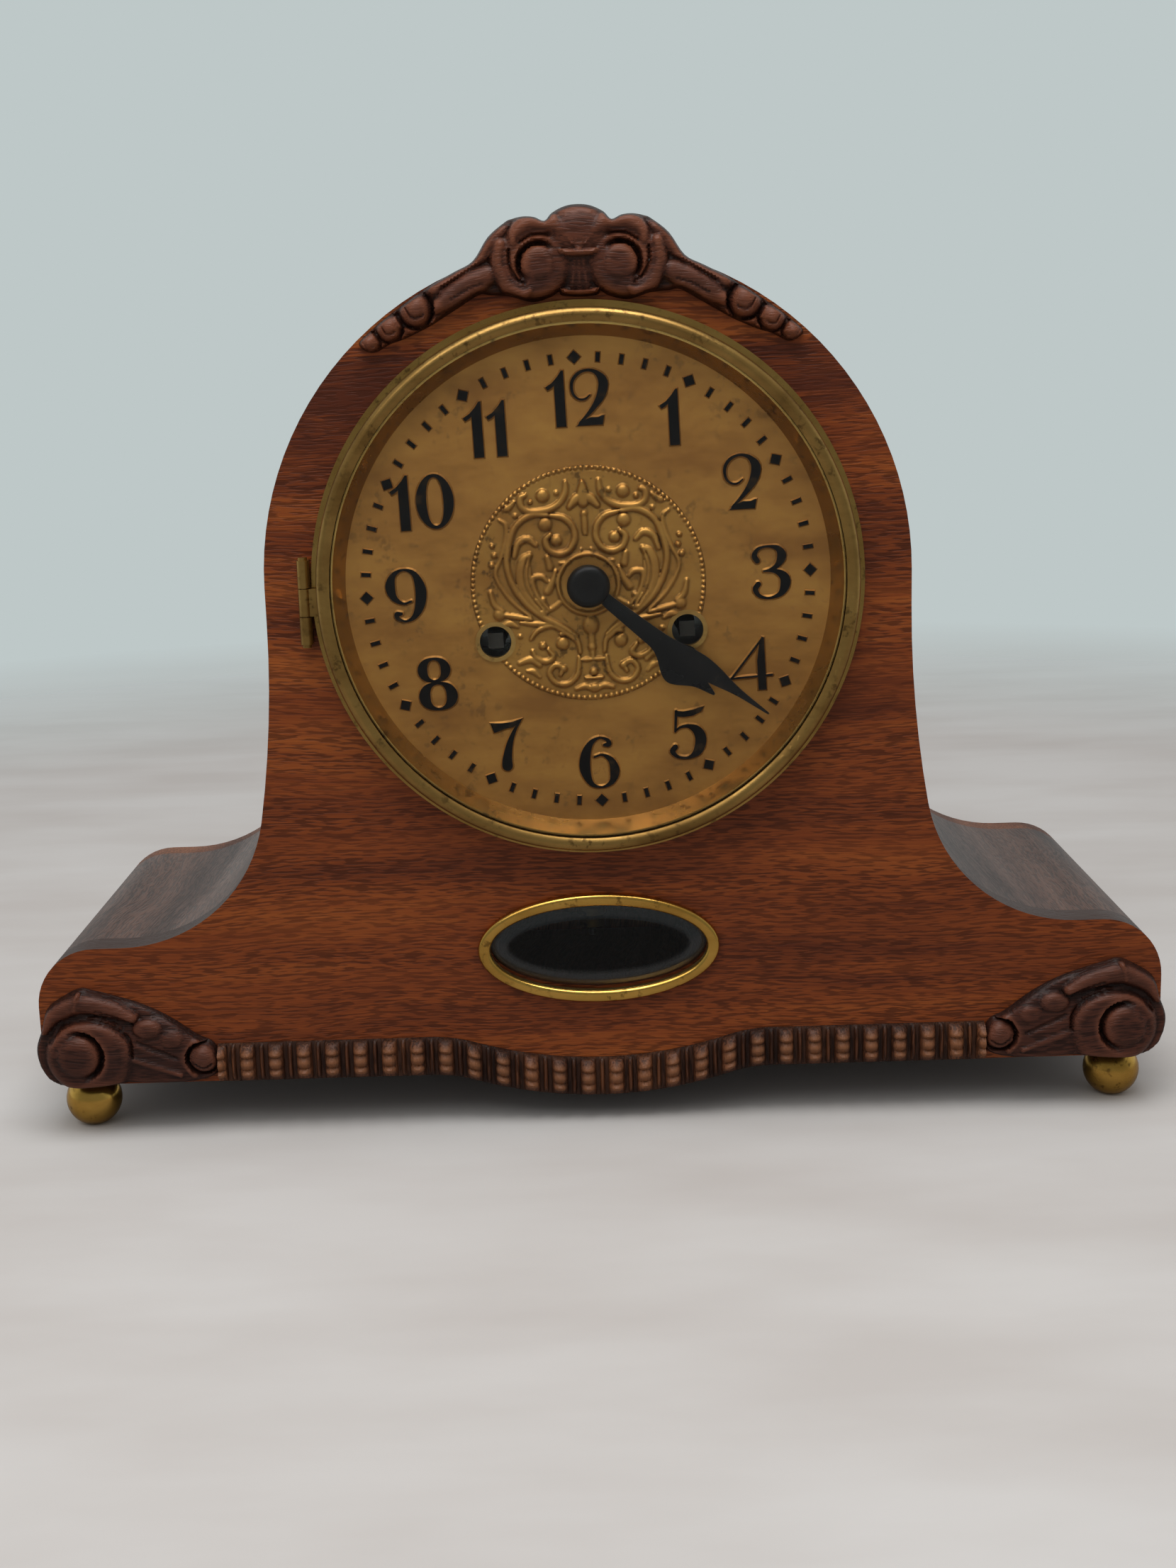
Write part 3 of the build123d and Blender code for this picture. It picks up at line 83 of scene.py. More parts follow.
class Web:
    """Adds shader nodes to one tree and joins them."""

    def __init__(self, tree: bpy.types.NodeTree) -> None:
        """Keeps the tree that the nodes go into."""
        self.tree = tree

    def feed(self, node: bpy.types.Node, key: str | int, value: object) -> None:
        """Links a socket to an input, or sets the input to a plain value.

        Args:
            node: The node that takes the value.
            key: Name or number of its input.
            value: An output socket, or a number, vector or colour.
        """
        if isinstance(value, bpy.types.NodeSocket):
            self.tree.links.new(value, node.inputs[key])
        else:
            node.inputs[key].default_value = value

    def add(self, kind: str, inputs: dict | None = None, **settings: object) -> bpy.types.Node:
        """Makes one node.

        Args:
            kind: Blender's name of the node type.
            inputs: Values or sockets by input name.
            **settings: Properties of the node itself.

        Returns:
            The new node.
        """
        node = self.tree.nodes.new(kind)
        for key, value in settings.items():
            setattr(node, key, value)
        for key, value in (inputs or {}).items():
            self.feed(node, key, value)
        return node

    def blend(self, share: object, first: object, second: object, mode: str = "MIX") -> object:
        """Mixes two colours.

        Args:
            share: How much of the second colour shows.
            first: Colour at share 0.
            second: Colour at share 1.
            mode: Blender's name of the way to mix.

        Returns:
            The colour socket.
        """
        node = self.add("ShaderNodeMix", {0: share, 6: first, 7: second}, data_type="RGBA", blend_type=mode)
        return node.outputs[2]

    def span(self, value: object, low: float, high: float, start: float = 0.0, end: float = 1.0) -> object:
        """Maps a value between two limits, clamped.

        Args:
            value: The socket to map.
            low: Value that gives start.
            high: Value that gives end.
            start: Result at low.
            end: Result at high.

        Returns:
            The mapped socket.
        """
        keys = {"Value": value, "From Min": low, "From Max": high, "To Min": start, "To Max": end}
        return self.add("ShaderNodeMapRange", keys).outputs["Result"]

    def work(self, operation: str, first: object, second: object = 0.0) -> object:
        """Works out one sum and returns its socket."""
        return self.add("ShaderNodeMath", {0: first, 1: second}, operation=operation).outputs[0]

    def noise(self, place: object, stretch: Point, detail: float = 2.0, rough: float = 0.5) -> object:
        """Noise at its own scale in each direction.

        Args:
            place: Vector socket in metres.
            stretch: Waves per metre in the three directions.
            detail: Octaves of finer noise.
            rough: Strength of the finer noise.

        Returns:
            The value socket, about 0.3 to 0.7.
        """
        scaled = self.add("ShaderNodeVectorMath", {0: place, 1: stretch}, operation="MULTIPLY")
        keys = {"Vector": scaled.outputs[0], "Scale": 1.0, "Detail": detail, "Roughness": rough}
        return self.add("ShaderNodeTexNoise", keys).outputs["Fac"]


def shared_effect(name: str, inputs: dict[str, object], outputs: Sequence[str],
                  fill: Callable[[Web, bpy.types.Node, bpy.types.Node], None]) -> bpy.types.NodeTree:
    """Makes a node group once and gives it back each later time.

    Args:
        name: Name of the group.
        inputs: Default of each input: a number, or None for a vector.
        outputs: Names of the value outputs.
        fill: Adds the nodes between the group's input and output nodes.

    Returns:
        The node group.
    """
    if name in bpy.data.node_groups:
        return bpy.data.node_groups[name]
    tree = bpy.data.node_groups.new(name, "ShaderNodeTree")
    for key, value in inputs.items():
        kind = "NodeSocketVector" if value is None else "NodeSocketFloat"
        socket = tree.interface.new_socket(key, in_out="INPUT", socket_type=kind)
        if value is not None:
            socket.default_value = value
    for key in outputs:
        tree.interface.new_socket(key, in_out="OUTPUT", socket_type="NodeSocketFloat")
    web = Web(tree)
    fill(web, web.add("NodeGroupInput"), web.add("NodeGroupOutput"))
    return tree


def oak_grain() -> bpy.types.NodeTree:
    """The figure of oak: wide bands, fine fibres and short dark pores along the first direction.

    Returns:
        The node group.
    """

    def fill(web: Web, given: bpy.types.Node, result: bpy.types.Node) -> None:
        """Adds the nodes of the grain.

        Args:
            web: The group's nodes.
            given: Its input node.
            result: Its output node.
        """
        sway = web.add("ShaderNodeTexNoise", {"Vector": given.outputs["Vector"], "Scale": 9.0, "Detail": 2.0})
        reach = web.add("ShaderNodeCombineXYZ", {"Y": given.outputs["Sway"], "Z": given.outputs["Sway"]})
        bent = web.add(
            "ShaderNodeVectorMath",
            {0: sway.outputs["Color"], 1: reach.outputs[0], 2: given.outputs["Vector"]},
            operation="MULTIPLY_ADD",
        ).outputs[0]
        bands = web.noise(bent, (4.0, 62.0, 40.0), 3.0, 0.55)
        fibres = web.noise(bent, (26.0, 1900.0, 1900.0), 1.0)
        dashes = web.noise(bent, (150.0, 1280.0, 1280.0), 1.0)
        rows = web.span(web.noise(bent, (3.0, 95.0, 60.0), 1.0), 0.36, 0.6, 0.55, 1.0)
        pores = web.work("MULTIPLY", web.span(dashes, 0.47, 0.58), rows)
        tone = web.work("ADD", web.work("MULTIPLY", bands, 0.72), web.work("MULTIPLY", fibres, 0.28))
        height = web.work("SUBTRACT", web.work("MULTIPLY", fibres, 0.35), pores)
        web.feed(result, "Tone", tone)
        web.feed(result, "Pores", pores)
        web.feed(result, "Height", height)

    return shared_effect("oak_grain", {"Vector": None, "Sway": 0.02}, ("Tone", "Pores", "Height"), fill)


def metal_age() -> bpy.types.NodeTree:
    """Age on metal: wide smears, small specks and a fine unevenness.

    Returns:
        The node group.
    """

    def fill(web: Web, given: bpy.types.Node, result: bpy.types.Node) -> None:
        """Adds the nodes of the age marks.

        Args:
            web: The group's nodes.
            given: Its input node.
            result: Its output node.
        """
        place = given.outputs["Vector"]
        wide = web.noise(place, (26.0, 60.0, 60.0), 5.0, 0.62)
        spots = web.noise(place, (330.0, 330.0, 330.0), 3.0, 0.6)
        fine = web.noise(place, (1500.0, 1500.0, 1500.0), 2.0)
        patches = web.noise(place, (70.0, 70.0, 70.0), 2.0)
        specks = web.work("MULTIPLY", web.span(spots, 0.56, 0.66), web.span(patches, 0.42, 0.6))
        web.feed(result, "Smear", web.span(wide, 0.36, 0.66))
        web.feed(result, "Specks", specks)
        web.feed(result, "Height", web.work("ADD", web.work("MULTIPLY", fine, 0.5), spots))

    return shared_effect("metal_age", {"Vector": None}, ("Smear", "Specks", "Height"), fill)


def carved_depth() -> bpy.types.NodeTree:
    """How deep a carved point lies: masks for painted shade in the hollows and for a painted highlight on the
    raised tops.

    Returns:
        The node group.
    """

    def fill(web: Web, given: bpy.types.Node, result: bpy.types.Node) -> None:
        """Adds the nodes that read the carving's own depth.

        Args:
            web: The group's nodes.
            given: Its input node.
            result: Its output node.
        """
        depth = web.add("ShaderNodeAttribute", attribute_name="hollow").outputs["Fac"]
        cloud = web.noise(given.outputs["Vector"], (240.0, 240.0, 240.0), 2.0)
        lifted = web.work("ADD", depth, web.work("MULTIPLY", web.work("SUBTRACT", cloud, 0.5), 0.25))
        # Hollow is painted shade in the hollows; the next mask is a painted highlight on the raised tops.
        web.feed(result, "Hollow", web.span(lifted, 0.05, 0.75))
        web.feed(result, "Highlight", web.span(lifted, -0.1, -0.7))

    return shared_effect("carved_depth", {"Vector": None}, ("Hollow", "Highlight"), fill)


class Grain(Enum):
    """Which way the fibres run, as the order in which X, Y and Z are read."""

    ACROSS = ("X", "Z", "Y")
    DEPTH = ("Y", "X", "Z")
    UPRIGHT = ("Z", "X", "Y")


MADE: dict[str, bpy.types.Material] = {}


class Finish:
    """What every finish shares: one material, made once."""

    name: str

    def material(self) -> bpy.types.Material:
        """Gives the material, made on the first call.

        Returns:
            The material.
        """
        if self.name in MADE:
            return MADE[self.name]
        material = MADE[self.name] = bpy.data.materials.new(self.name)
        material.use_nodes = True
        web = Web(material.node_tree)
        shader = material.node_tree.nodes["Principled BSDF"]
        place = web.add("ShaderNodeTexCoord").outputs["Object"]
        self.paint(web, shader, place)
        return material

    def paint(self, web: Web, shader: bpy.types.Node, place: object) -> None:
        """Adds the finish's own nodes.

        Args:
            web: The material's nodes.
            shader: Its Principled BSDF.
            place: Place on the object in metres.
        """
        raise NotImplementedError


def bump(web: Web, shader: bpy.types.Node, height: object, strength: float, distance: float) -> None:
    """Raises a surface by a height socket.

    Args:
        web: The material's nodes.
        shader: The shader whose normal is bent.
        height: Height from 0 to 1.
        strength: Share of the bend.
        distance: Real height in metres.
    """
    node = web.add("ShaderNodeBump", {"Height": height, "Strength": strength, "Distance": distance})
    web.feed(shader, "Normal", node.outputs[0])


def see_through(web: Web, shader: bpy.types.Node, share: object) -> None:
    """Lets light straight through a share of a material.

    Args:
        web: The material's nodes.
        shader: The shader that shows otherwise.
        share: How much passes straight through.
    """
    mix = web.add("ShaderNodeMixShader", {0: share, 1: shader.outputs[0]})
    web.feed(mix, 2, web.add("ShaderNodeBsdfTransparent").outputs[0])
    target = next(node for node in web.tree.nodes if node.type == "OUTPUT_MATERIAL")
    web.feed(target, "Surface", mix.outputs[0])


@dataclass(frozen=True)
class OakFinish(Finish):
    """Stained and waxed oak."""

    name: str
    light: Colour
    middle: Colour
    dark: Colour
    # Colour of the pores, also used as the painted shade in carved hollows.
    pore_and_shade: Colour
    grain: Grain = Grain.ACROSS
    gloss: float = 0.42
    sway: float = 0.02
    carved: bool = False
    # Colour of the painted highlight on the raised tops of carvings.
    raised_highlight: Colour | None = None
    figure: Point = (1.0, 1.0)
    edge: Colour | None = None
    shine: float = 0.16
    wax: Point = (0.06, 0.01)
    wax_rough: float = 0.32
    pore_bend: float = 0.5
    pore_depth: float = 0.00022

    def paint(self, web: Web, shader: bpy.types.Node, place: object) -> None:
        """Adds the grain, the stain and the wax, and on carvings painted shade in the hollows and a painted
        highlight on the raised tops.

        Args:
            web: The material's nodes.
            shader: Its Principled BSDF.
            place: Place in metres.
        """
        parts = web.add("ShaderNodeSeparateXYZ", {0: place})
        order = web.add("ShaderNodeCombineXYZ", {i: parts.outputs[k] for i, k in enumerate(self.grain.value)})
        grain = web.add("ShaderNodeGroup", node_tree=oak_grain())
        web.feed(grain, "Vector", order.outputs[0])
        web.feed(grain, "Sway", self.sway)
        strength = web.span(parts.outputs["Z"], 0.1, 0.25, *self.figure)
        tone = web.work("MULTIPLY", web.work("SUBTRACT", grain.outputs["Tone"], 0.5), strength)
        tone = web.work("ADD", tone, 0.5)
        wood = web.blend(web.span(tone, 0.36, 0.5), self.dark, self.middle)
        wood = web.blend(web.span(tone, 0.5, 0.66), wood, self.light)
        wood = web.blend(web.work("MULTIPLY", grain.outputs["Pores"], 0.62), wood, self.pore_and_shade)
        if self.carved:
            depth = web.add("ShaderNodeGroup", node_tree=carved_depth())
            web.feed(depth, "Vector", place)
            # Painted highlight on the carving's raised tops, then painted shade in its hollows in the pore
            # colour.
            wood = web.blend(web.work("MULTIPLY", depth.outputs["Highlight"], 0.75), wood, self.raised_highlight)
            wood = web.blend(web.work("MULTIPLY", depth.outputs["Hollow"], 0.65), wood, self.pore_and_shade)
        if self.edge:
            facing = web.add("ShaderNodeSeparateXYZ", {0: web.add("ShaderNodeNewGeometry").outputs["Normal"]})
            level = web.work("ABSOLUTE", facing.outputs["Y"])
            wood = web.blend(web.span(level, 0.85, 0.5), wood, self.edge)
        web.feed(shader, "Base Color", wood)
        web.feed(shader, "Roughness", web.span(tone, 0.35, 0.65, self.gloss + 0.08, self.gloss - 0.04))
        web.feed(shader, "Specular IOR Level", self.shine)
        web.feed(shader, "Coat Weight", web.span(grain.outputs["Pores"], 0.0, 1.0, *self.wax))
        web.feed(shader, "Coat Roughness", self.wax_rough)
        bump(web, shader, grain.outputs["Height"], self.pore_bend, self.pore_depth)


@dataclass(frozen=True)
class MetalFinish(Finish):
    """Brass, gilt or steel with its age."""

    name: str
    bright: Colour
    aged: Colour
    # Colour of the specks, also used as the painted shade in embossed hollows.
    speck_and_shade: Colour
    metallic: float
    smooth: float
    rough: float
    uneven: float = 0.1
    carved: bool = False
    shine: float = 0.5
    speckle: float = 0.7
    relief: float = 0.0002

    def paint(self, web: Web, shader: bpy.types.Node, place: object) -> None:
        """Adds the metal, its smears and its specks, and on embossed work painted shade in the hollows.

        Args:
            web: The material's nodes.
            shader: Its Principled BSDF.
            place: Place in metres.
        """
        age = web.add("ShaderNodeGroup", node_tree=metal_age())
        web.feed(age, "Vector", place)
        metal = web.blend(age.outputs["Smear"], self.bright, self.aged)
        metal = web.blend(web.work("MULTIPLY", age.outputs["Specks"], self.speckle), metal, self.speck_and_shade)
        if self.carved:
            depth = web.add("ShaderNodeGroup", node_tree=carved_depth())
            web.feed(depth, "Vector", place)
            # Painted shade in the embossing's hollows, in the speck colour.
            metal = web.blend(web.work("MULTIPLY", depth.outputs["Hollow"], 0.7), metal, self.speck_and_shade)
        web.feed(shader, "Base Color", metal)
        web.feed(shader, "Metallic", self.metallic)
        web.feed(shader, "Specular IOR Level", self.shine)
        web.feed(shader, "Roughness", web.span(age.outputs["Smear"], 0.0, 1.0, self.smooth, self.rough))
        bump(web, shader, age.outputs["Height"], self.uneven, self.relief)


@dataclass(frozen=True)
class GlassFinish(Finish):
    """Clear glass that lets lamp light straight through."""

    name: str
    tint: Colour
    bend: float
    bevel: Point | None = None
    bevel_edge: Point = (0.98, 1.03)
    bevel_shine: float = 0.45
    bevel_bend: float = 1.7
    bevel_rough: float = 0.12
    dust: float = 0.03

    def paint(self, web: Web, shader: bpy.types.Node, place: object) -> None:
        """Adds the glass, its faint dust and its clear shadow.

        Args:
            web: The material's nodes.
            shader: Its Principled BSDF.
            place: Place in metres.
        """
        age = web.add("ShaderNodeGroup", node_tree=metal_age())
        web.feed(age, "Vector", place)
        web.feed(shader, "Base Color", self.tint)
        web.feed(shader, "Transmission Weight", 1.0)
        web.feed(shader, "IOR", self.bend)
        web.feed(shader, "Roughness", web.span(age.outputs["Smear"], 0.0, 1.0, 0.0, self.dust))
        if self.bevel:
            across, up, height = self.bevel
            shift = web.add("ShaderNodeVectorMath", {0: place, 1: (0.0, 0.0, height)}, operation="SUBTRACT")
            shares = {0: shift.outputs[0], 1: (1 / across, 0.0, 1 / up)}
            scaled = web.add("ShaderNodeVectorMath", shares, operation="MULTIPLY").outputs[0]
            away = web.add("ShaderNodeVectorMath", {0: scaled}, operation="LENGTH").outputs["Value"]
            web.feed(shader, "Coat Weight", web.span(away, *self.bevel_edge, 0.0, self.bevel_shine))
            web.feed(shader, "Coat IOR", self.bevel_bend)
            web.feed(shader, "Coat Roughness", self.bevel_rough)
        path = web.add("ShaderNodeLightPath")
        through = web.work("MAXIMUM", path.outputs["Is Shadow Ray"], path.outputs["Is Diffuse Ray"])
        see_through(web, shader, through)


class Palette:
    """Every finish of the clock."""

    board = OakFinish("board_oak", srgb(142, 75, 29), srgb(117, 55, 20), srgb(78, 33, 14), srgb(50, 22, 11),
                      sway=0.009, figure=(0.75, 1.35), edge=srgb(52, 29, 20))
    skin = OakFinish(
        "skin_oak", srgb(92, 56, 37), srgb(75, 43, 28), srgb(54, 30, 20), srgb(34, 19, 14), Grain.DEPTH, 0.36
    )
    back = OakFinish(
        "back_oak", srgb(134, 82, 50), srgb(110, 64, 40), srgb(82, 46, 30), srgb(50, 28, 20),
        Grain.UPRIGHT, 0.5,
    )
    # Carved finishes: the fourth colour is both the pore colour and the painted shade in hollows; the lighter
    # keyword colour is a painted highlight on raised tops.
    carving = OakFinish(
        "carving_oak", srgb(92, 50, 33), srgb(72, 38, 26), srgb(52, 27, 19), srgb(24, 14, 11),
        carved=True, raised_highlight=srgb(112, 65, 44), gloss=0.4,
    )
    corner = OakFinish(
        "corner_oak", srgb(83, 44, 30), srgb(65, 34, 24), srgb(47, 24, 18), srgb(22, 13, 11),
        carved=True, raised_highlight=srgb(100, 57, 40), gloss=0.4,
    )
    fluting = OakFinish(
        "fluted_oak", srgb(108, 66, 41), srgb(87, 51, 32), srgb(63, 36, 23), srgb(25, 14, 11),
        carved=True, raised_highlight=srgb(124, 80, 52), gloss=0.44, grain=Grain.UPRIGHT,
    )
    brass = MetalFinish(
        "aged_brass", srgb(168, 131, 72), srgb(124, 93, 47), srgb(78, 56, 29), 0.9, 0.27, 0.44
    )
    feet = MetalFinish(
        "polished_brass", srgb(224, 176, 88), srgb(188, 141, 64), srgb(106, 77, 39), 1.0, 0.16, 0.32, 0.05
    )
    dial = MetalFinish(
        "gilt_dial", srgb(156, 111, 50), srgb(124, 83, 34), srgb(70, 48, 25), 0.72, 0.42, 0.56, 0.14,
        speckle=0.4,
    )
    sight = MetalFinish(
        "sight_gilt", srgb(184, 145, 80), srgb(158, 121, 62), srgb(88, 65, 36), 0.95, 0.2, 0.3
    )
    # The third colour is both the speck colour and the painted shade in the embossing's hollows.
    embossed = MetalFinish(
        "embossed_gilt", srgb(160, 116, 54), srgb(132, 90, 38), srgb(60, 40, 19), 0.8, 0.34, 0.48, 0.08, True
    )
    works = MetalFinish(
        "works_brass", srgb(190, 152, 88), srgb(158, 120, 62), srgb(98, 74, 42), 1.0, 0.26, 0.42
    )
    steel = MetalFinish(
        "works_steel", srgb(168, 168, 166), srgb(128, 126, 122), srgb(84, 76, 66), 1.0, 0.24, 0.4
    )
    black = MetalFinish(
        "hand_black", srgb(12, 11, 11), srgb(18, 17, 16), srgb(34, 30, 27), 0.0, 0.26, 0.4, 0.06, shine=0.16
    )
    dark_steel = MetalFinish(
        "dark_steel", srgb(58, 55, 50), srgb(40, 37, 33), srgb(30, 26, 22), 0.8, 0.4, 0.55
    )
    ink = MetalFinish(
        "black_paint", srgb(8, 8, 8), srgb(14, 12, 11), srgb(48, 36, 22), 0.0, 0.4, 0.55, 0.1, shine=0.06
    )
    glass = GlassFinish("dial_pane", (1.0, 1.0, 1.0, 1.0), 1.15)
    window = GlassFinish("window_pane", (0.75, 0.8, 0.82, 1.0), 1.22, (0.0305, 0.0095, 0.0617))


SLOT_FINISH: dict[str, Finish] = {
    "oak": Palette.board,
    "carved_oak": Palette.carving,
    "brass": Palette.brass,
    "dial_brass": Palette.dial,
    "clear_glass": Palette.glass,
    "black_hands": Palette.black,
    "movement_brass": Palette.works,
    "steel": Palette.steel,
}
NODE_FINISH: dict[str, Finish] = {
    "case_skin": Palette.skin,
    "bottom_board": Palette.skin,
    "back_frame": Palette.back,
    "back_door": Palette.back,
    "gong_block": Palette.back,
    "ball_feet": Palette.feet,
    "window_ring": Palette.feet,
    "dial_pan": Palette.sight,
    "window_glass": Palette.window,
    "time_winding_arbor": Palette.dark_steel,
    "strike_winding_arbor": Palette.dark_steel,
}


def flowing(points: Sequence[Point], samples: int = 5, closed: bool = False) -> np.ndarray:
    """Draws a smooth curve through points.

    Args:
        points: Points with any number of values each.
        samples: Steps between two points.
        closed: True where the curve returns to its start.

    Returns:
        The points of the curve, one row each.
    """
    knots = np.asarray(points, float)
    count = len(knots)
    if closed:
        ring = np.vstack([knots[-1:], knots, knots[:2]])
        spans = count
    else:
        ring = np.vstack([2 * knots[:1] - knots[1:2], knots, 2 * knots[-1:] - knots[-2:-1]])
        spans = count - 1
    steps = np.linspace(0, 1, samples, endpoint=False)[:, None]
    rows = []
    for i in range(spans):
        a, b, c, d = ring[i : i + 4]
        rows.append(
            0.5 * (2 * b + (c - a) * steps + (2 * a - 5 * b + 4 * c - d) * steps**2
                   + (3 * b - a - 3 * c + d) * steps**3)
        )
    if not closed:
        rows.append(knots[-1:])
    return np.vstack(rows)


def segment_reach(points: np.ndarray, line: np.ndarray) -> tuple[np.ndarray, np.ndarray]:
    """Distance from points to a broken line.

    Args:
        points: Points in the plane.
        line: Points of the line, with further values after the first two.

    Returns:
        The distance to each segment, and the further value there.
    """
    start, end = line[:-1], line[1:]
    run = end[:, :2] - start[:, :2]
    length = np.maximum((run**2).sum(1), 1e-9)
    gap = points[:, None, :] - start[None, :, :2]
    share = np.clip((gap * run[None]).sum(2) / length, 0, 1)
    away = np.hypot(*(gap - share[..., None] * run[None]).transpose(2, 0, 1))
    extra = start[None, :, 2:] + share[..., None] * (end - start)[None, :, 2:]
    return away, extra[..., 0] if line.shape[1] > 2 else away


def outline_distance(points: np.ndarray, outline: np.ndarray) -> np.ndarray:
    """Distance from points to a closed outline, worked out in short runs to save memory.

    Args:
        points: Points in the plane.
        outline: Corners of the outline in order.

    Returns:
        The distance of each point.
    """
    closed = np.vstack([outline, outline[:1]])
    near = np.full(len(points), np.inf)
    for start in range(0, len(outline), RUN_LENGTH):
        away, _ = segment_reach(points, closed[start : start + RUN_LENGTH + 1])
        near = np.minimum(near, away.min(1))
    return near


def half_round(share: np.ndarray) -> np.ndarray:
    """Height of a half round at a share of its radius."""
    return np.sqrt(np.clip(1 - share**2, 0, None))


def inside(points: np.ndarray, outline: np.ndarray) -> np.ndarray:
    """Tells which points lie inside a closed outline.

    Args:
        points: Points in the plane.
        outline: Corners of the outline in order.

    Returns:
        True for each point inside.
    """
    result = np.zeros(len(points), bool)
    x, y = points.T
    for (ax, ay), (bx, by) in zip(outline, np.roll(outline, -1, 0)):
        if ay != by:
            crossing = (ay > y) != (by > y)
            result ^= crossing & (x < (bx - ax) * (y - ay) / (by - ay) + ax)
    return result


class Cut:
    """One cut of the carver: takes the heights so far and gives the new ones."""

    def apply(self, points: np.ndarray, height: np.ndarray) -> np.ndarray:
        """Works the heights.

        Args:
            points: Places on the carving.
            height: Height at each place.

        Returns:
            The new heights.
        """
        raise NotImplementedError


@dataclass(frozen=True)
class Ridge(Cut):
    """A rounded rib along a flowing line of (x, y, half width)."""

    path: tuple[Point, ...]
    top: float
    low: float = 0.0

    def apply(self, points: np.ndarray, height: np.ndarray) -> np.ndarray:
        """Raises the rib out of the ground.

        Args:
            points: Places on the carving.
            height: Height at each place.

        Returns:
            The new heights.
        """
        away, width = segment_reach(points, flowing(self.path))
        lift = half_round(away / np.maximum(width, TINY)).max(1)
        return np.where(lift > 0, np.maximum(height, self.low + (self.top - self.low) * lift), height)


@dataclass(frozen=True)
class Dome(Cut):
    """A rounded boss; flat is the share of its radius that stays level."""

    centre: Point
    size: Point
    top: float
    low: float = 0.0
    flat: float = 0.0

    def apply(self, points: np.ndarray, height: np.ndarray) -> np.ndarray:
        """Raises the boss.

        Args:
            points: Places on the carving.
            height: Height at each place.

        Returns:
            The new heights.
        """
        away = np.hypot(*((points - self.centre[:2]) / self.size).T)
        edge = np.clip((away - self.flat) / (1 - self.flat), 0, None)
        lift = half_round(edge)
        return np.where(away < 1, np.maximum(height, self.low + (self.top - self.low) * lift), height)


@dataclass(frozen=True)
class Ring(Cut):
    """A round groove cut down to a level."""

    centre: Point
    inner: float
    outer: float
    level: float
    heading: float | None = None

    def apply(self, points: np.ndarray, height: np.ndarray) -> np.ndarray:
        """Sinks the groove, all round or deepest towards its heading.

        Args:
            points: Places on the carving.
            height: Height at each place.

        Returns:
            The new heights.
        """
        away = np.hypot(*(points - self.centre).T)
        share = np.clip(1 - ((2 * away - self.inner - self.outer) / (self.outer - self.inner)) ** 2, 0, 1)
        if self.heading is not None:
            turn = np.arctan2(points[:, 1] - self.centre[1], points[:, 0] - self.centre[0])
            share = share * np.clip(0.2 + 1.4 * np.cos(turn - math.radians(self.heading)), 0, 1)
        return height - np.clip(height - self.level, 0, None) * share


@dataclass(frozen=True)
class Vein(Cut):
    """A thin line cut along a path of (x, y, half width) to a depth below the surface."""

    path: tuple[Point, ...]
    depth: float

    def apply(self, points: np.ndarray, height: np.ndarray) -> np.ndarray:
        """Sinks the line.

        Args:
            points: Places on the carving.
            height: Height at each place.

        Returns:
            The new heights.
        """
        away, width = segment_reach(points, flowing(self.path))
        return height - self.depth * np.clip(1 - (away / np.maximum(width, TINY)) ** 2, 0, 1).max(1)


@dataclass(frozen=True)
class Fan(Cut):
    """Ribs that spread from an apex, up or down."""

    apex: Point
    heading: float
    spread: float
    reach: float
    ribs: int
    top: float
    fall: float
    flute: float

    def apply(self, points: np.ndarray, height: np.ndarray) -> np.ndarray:
        """Raises the ribs of the fan.

        Args:
            points: Places on the carving.
            height: Height at each place.

        Returns:
            The new heights.
        """
        gap = points - self.apex
        away = np.hypot(*gap.T)
        turn = np.degrees(np.arctan2(gap[:, 0], self.heading * gap[:, 1]))
        rib = np.abs(np.cos(np.radians(turn / (2 * self.spread) * self.ribs * 180)))
        edge = np.clip(np.minimum(self.spread - np.abs(turn), 6) / 6, 0, 1)
        tip = np.sqrt(np.clip(1 - (away / self.reach) ** 6, 0, 1))
        lift = (self.top - self.fall * (away / self.reach) ** 2 + self.flute * (rib - 1)) * tip * edge
        return np.where((away < self.reach) & (edge > 0), np.maximum(height, lift), height)


def carve(points: np.ndarray, ground: float, cuts: Iterable[Cut]) -> np.ndarray:
    """Makes cuts one after another in a level ground.

    Args:
        points: Places on the carving.
        ground: Height before the first cut.
        cuts: The cuts in working order.

    Returns:
        The height at each place.
    """
    height = np.full(len(points), ground)
    for cut in cuts:
        height = cut.apply(points, height)
    return height


def folded(points: np.ndarray) -> np.ndarray:
    """Folds the left half over the right one."""
    return np.column_stack([np.abs(points[:, 0]), points[:, 1]])


@dataclass
class Sheet:
    """Corners, triangles and outer edges of a flat mesh before it gets its height."""

    points: np.ndarray
    faces: np.ndarray
    rim: np.ndarray


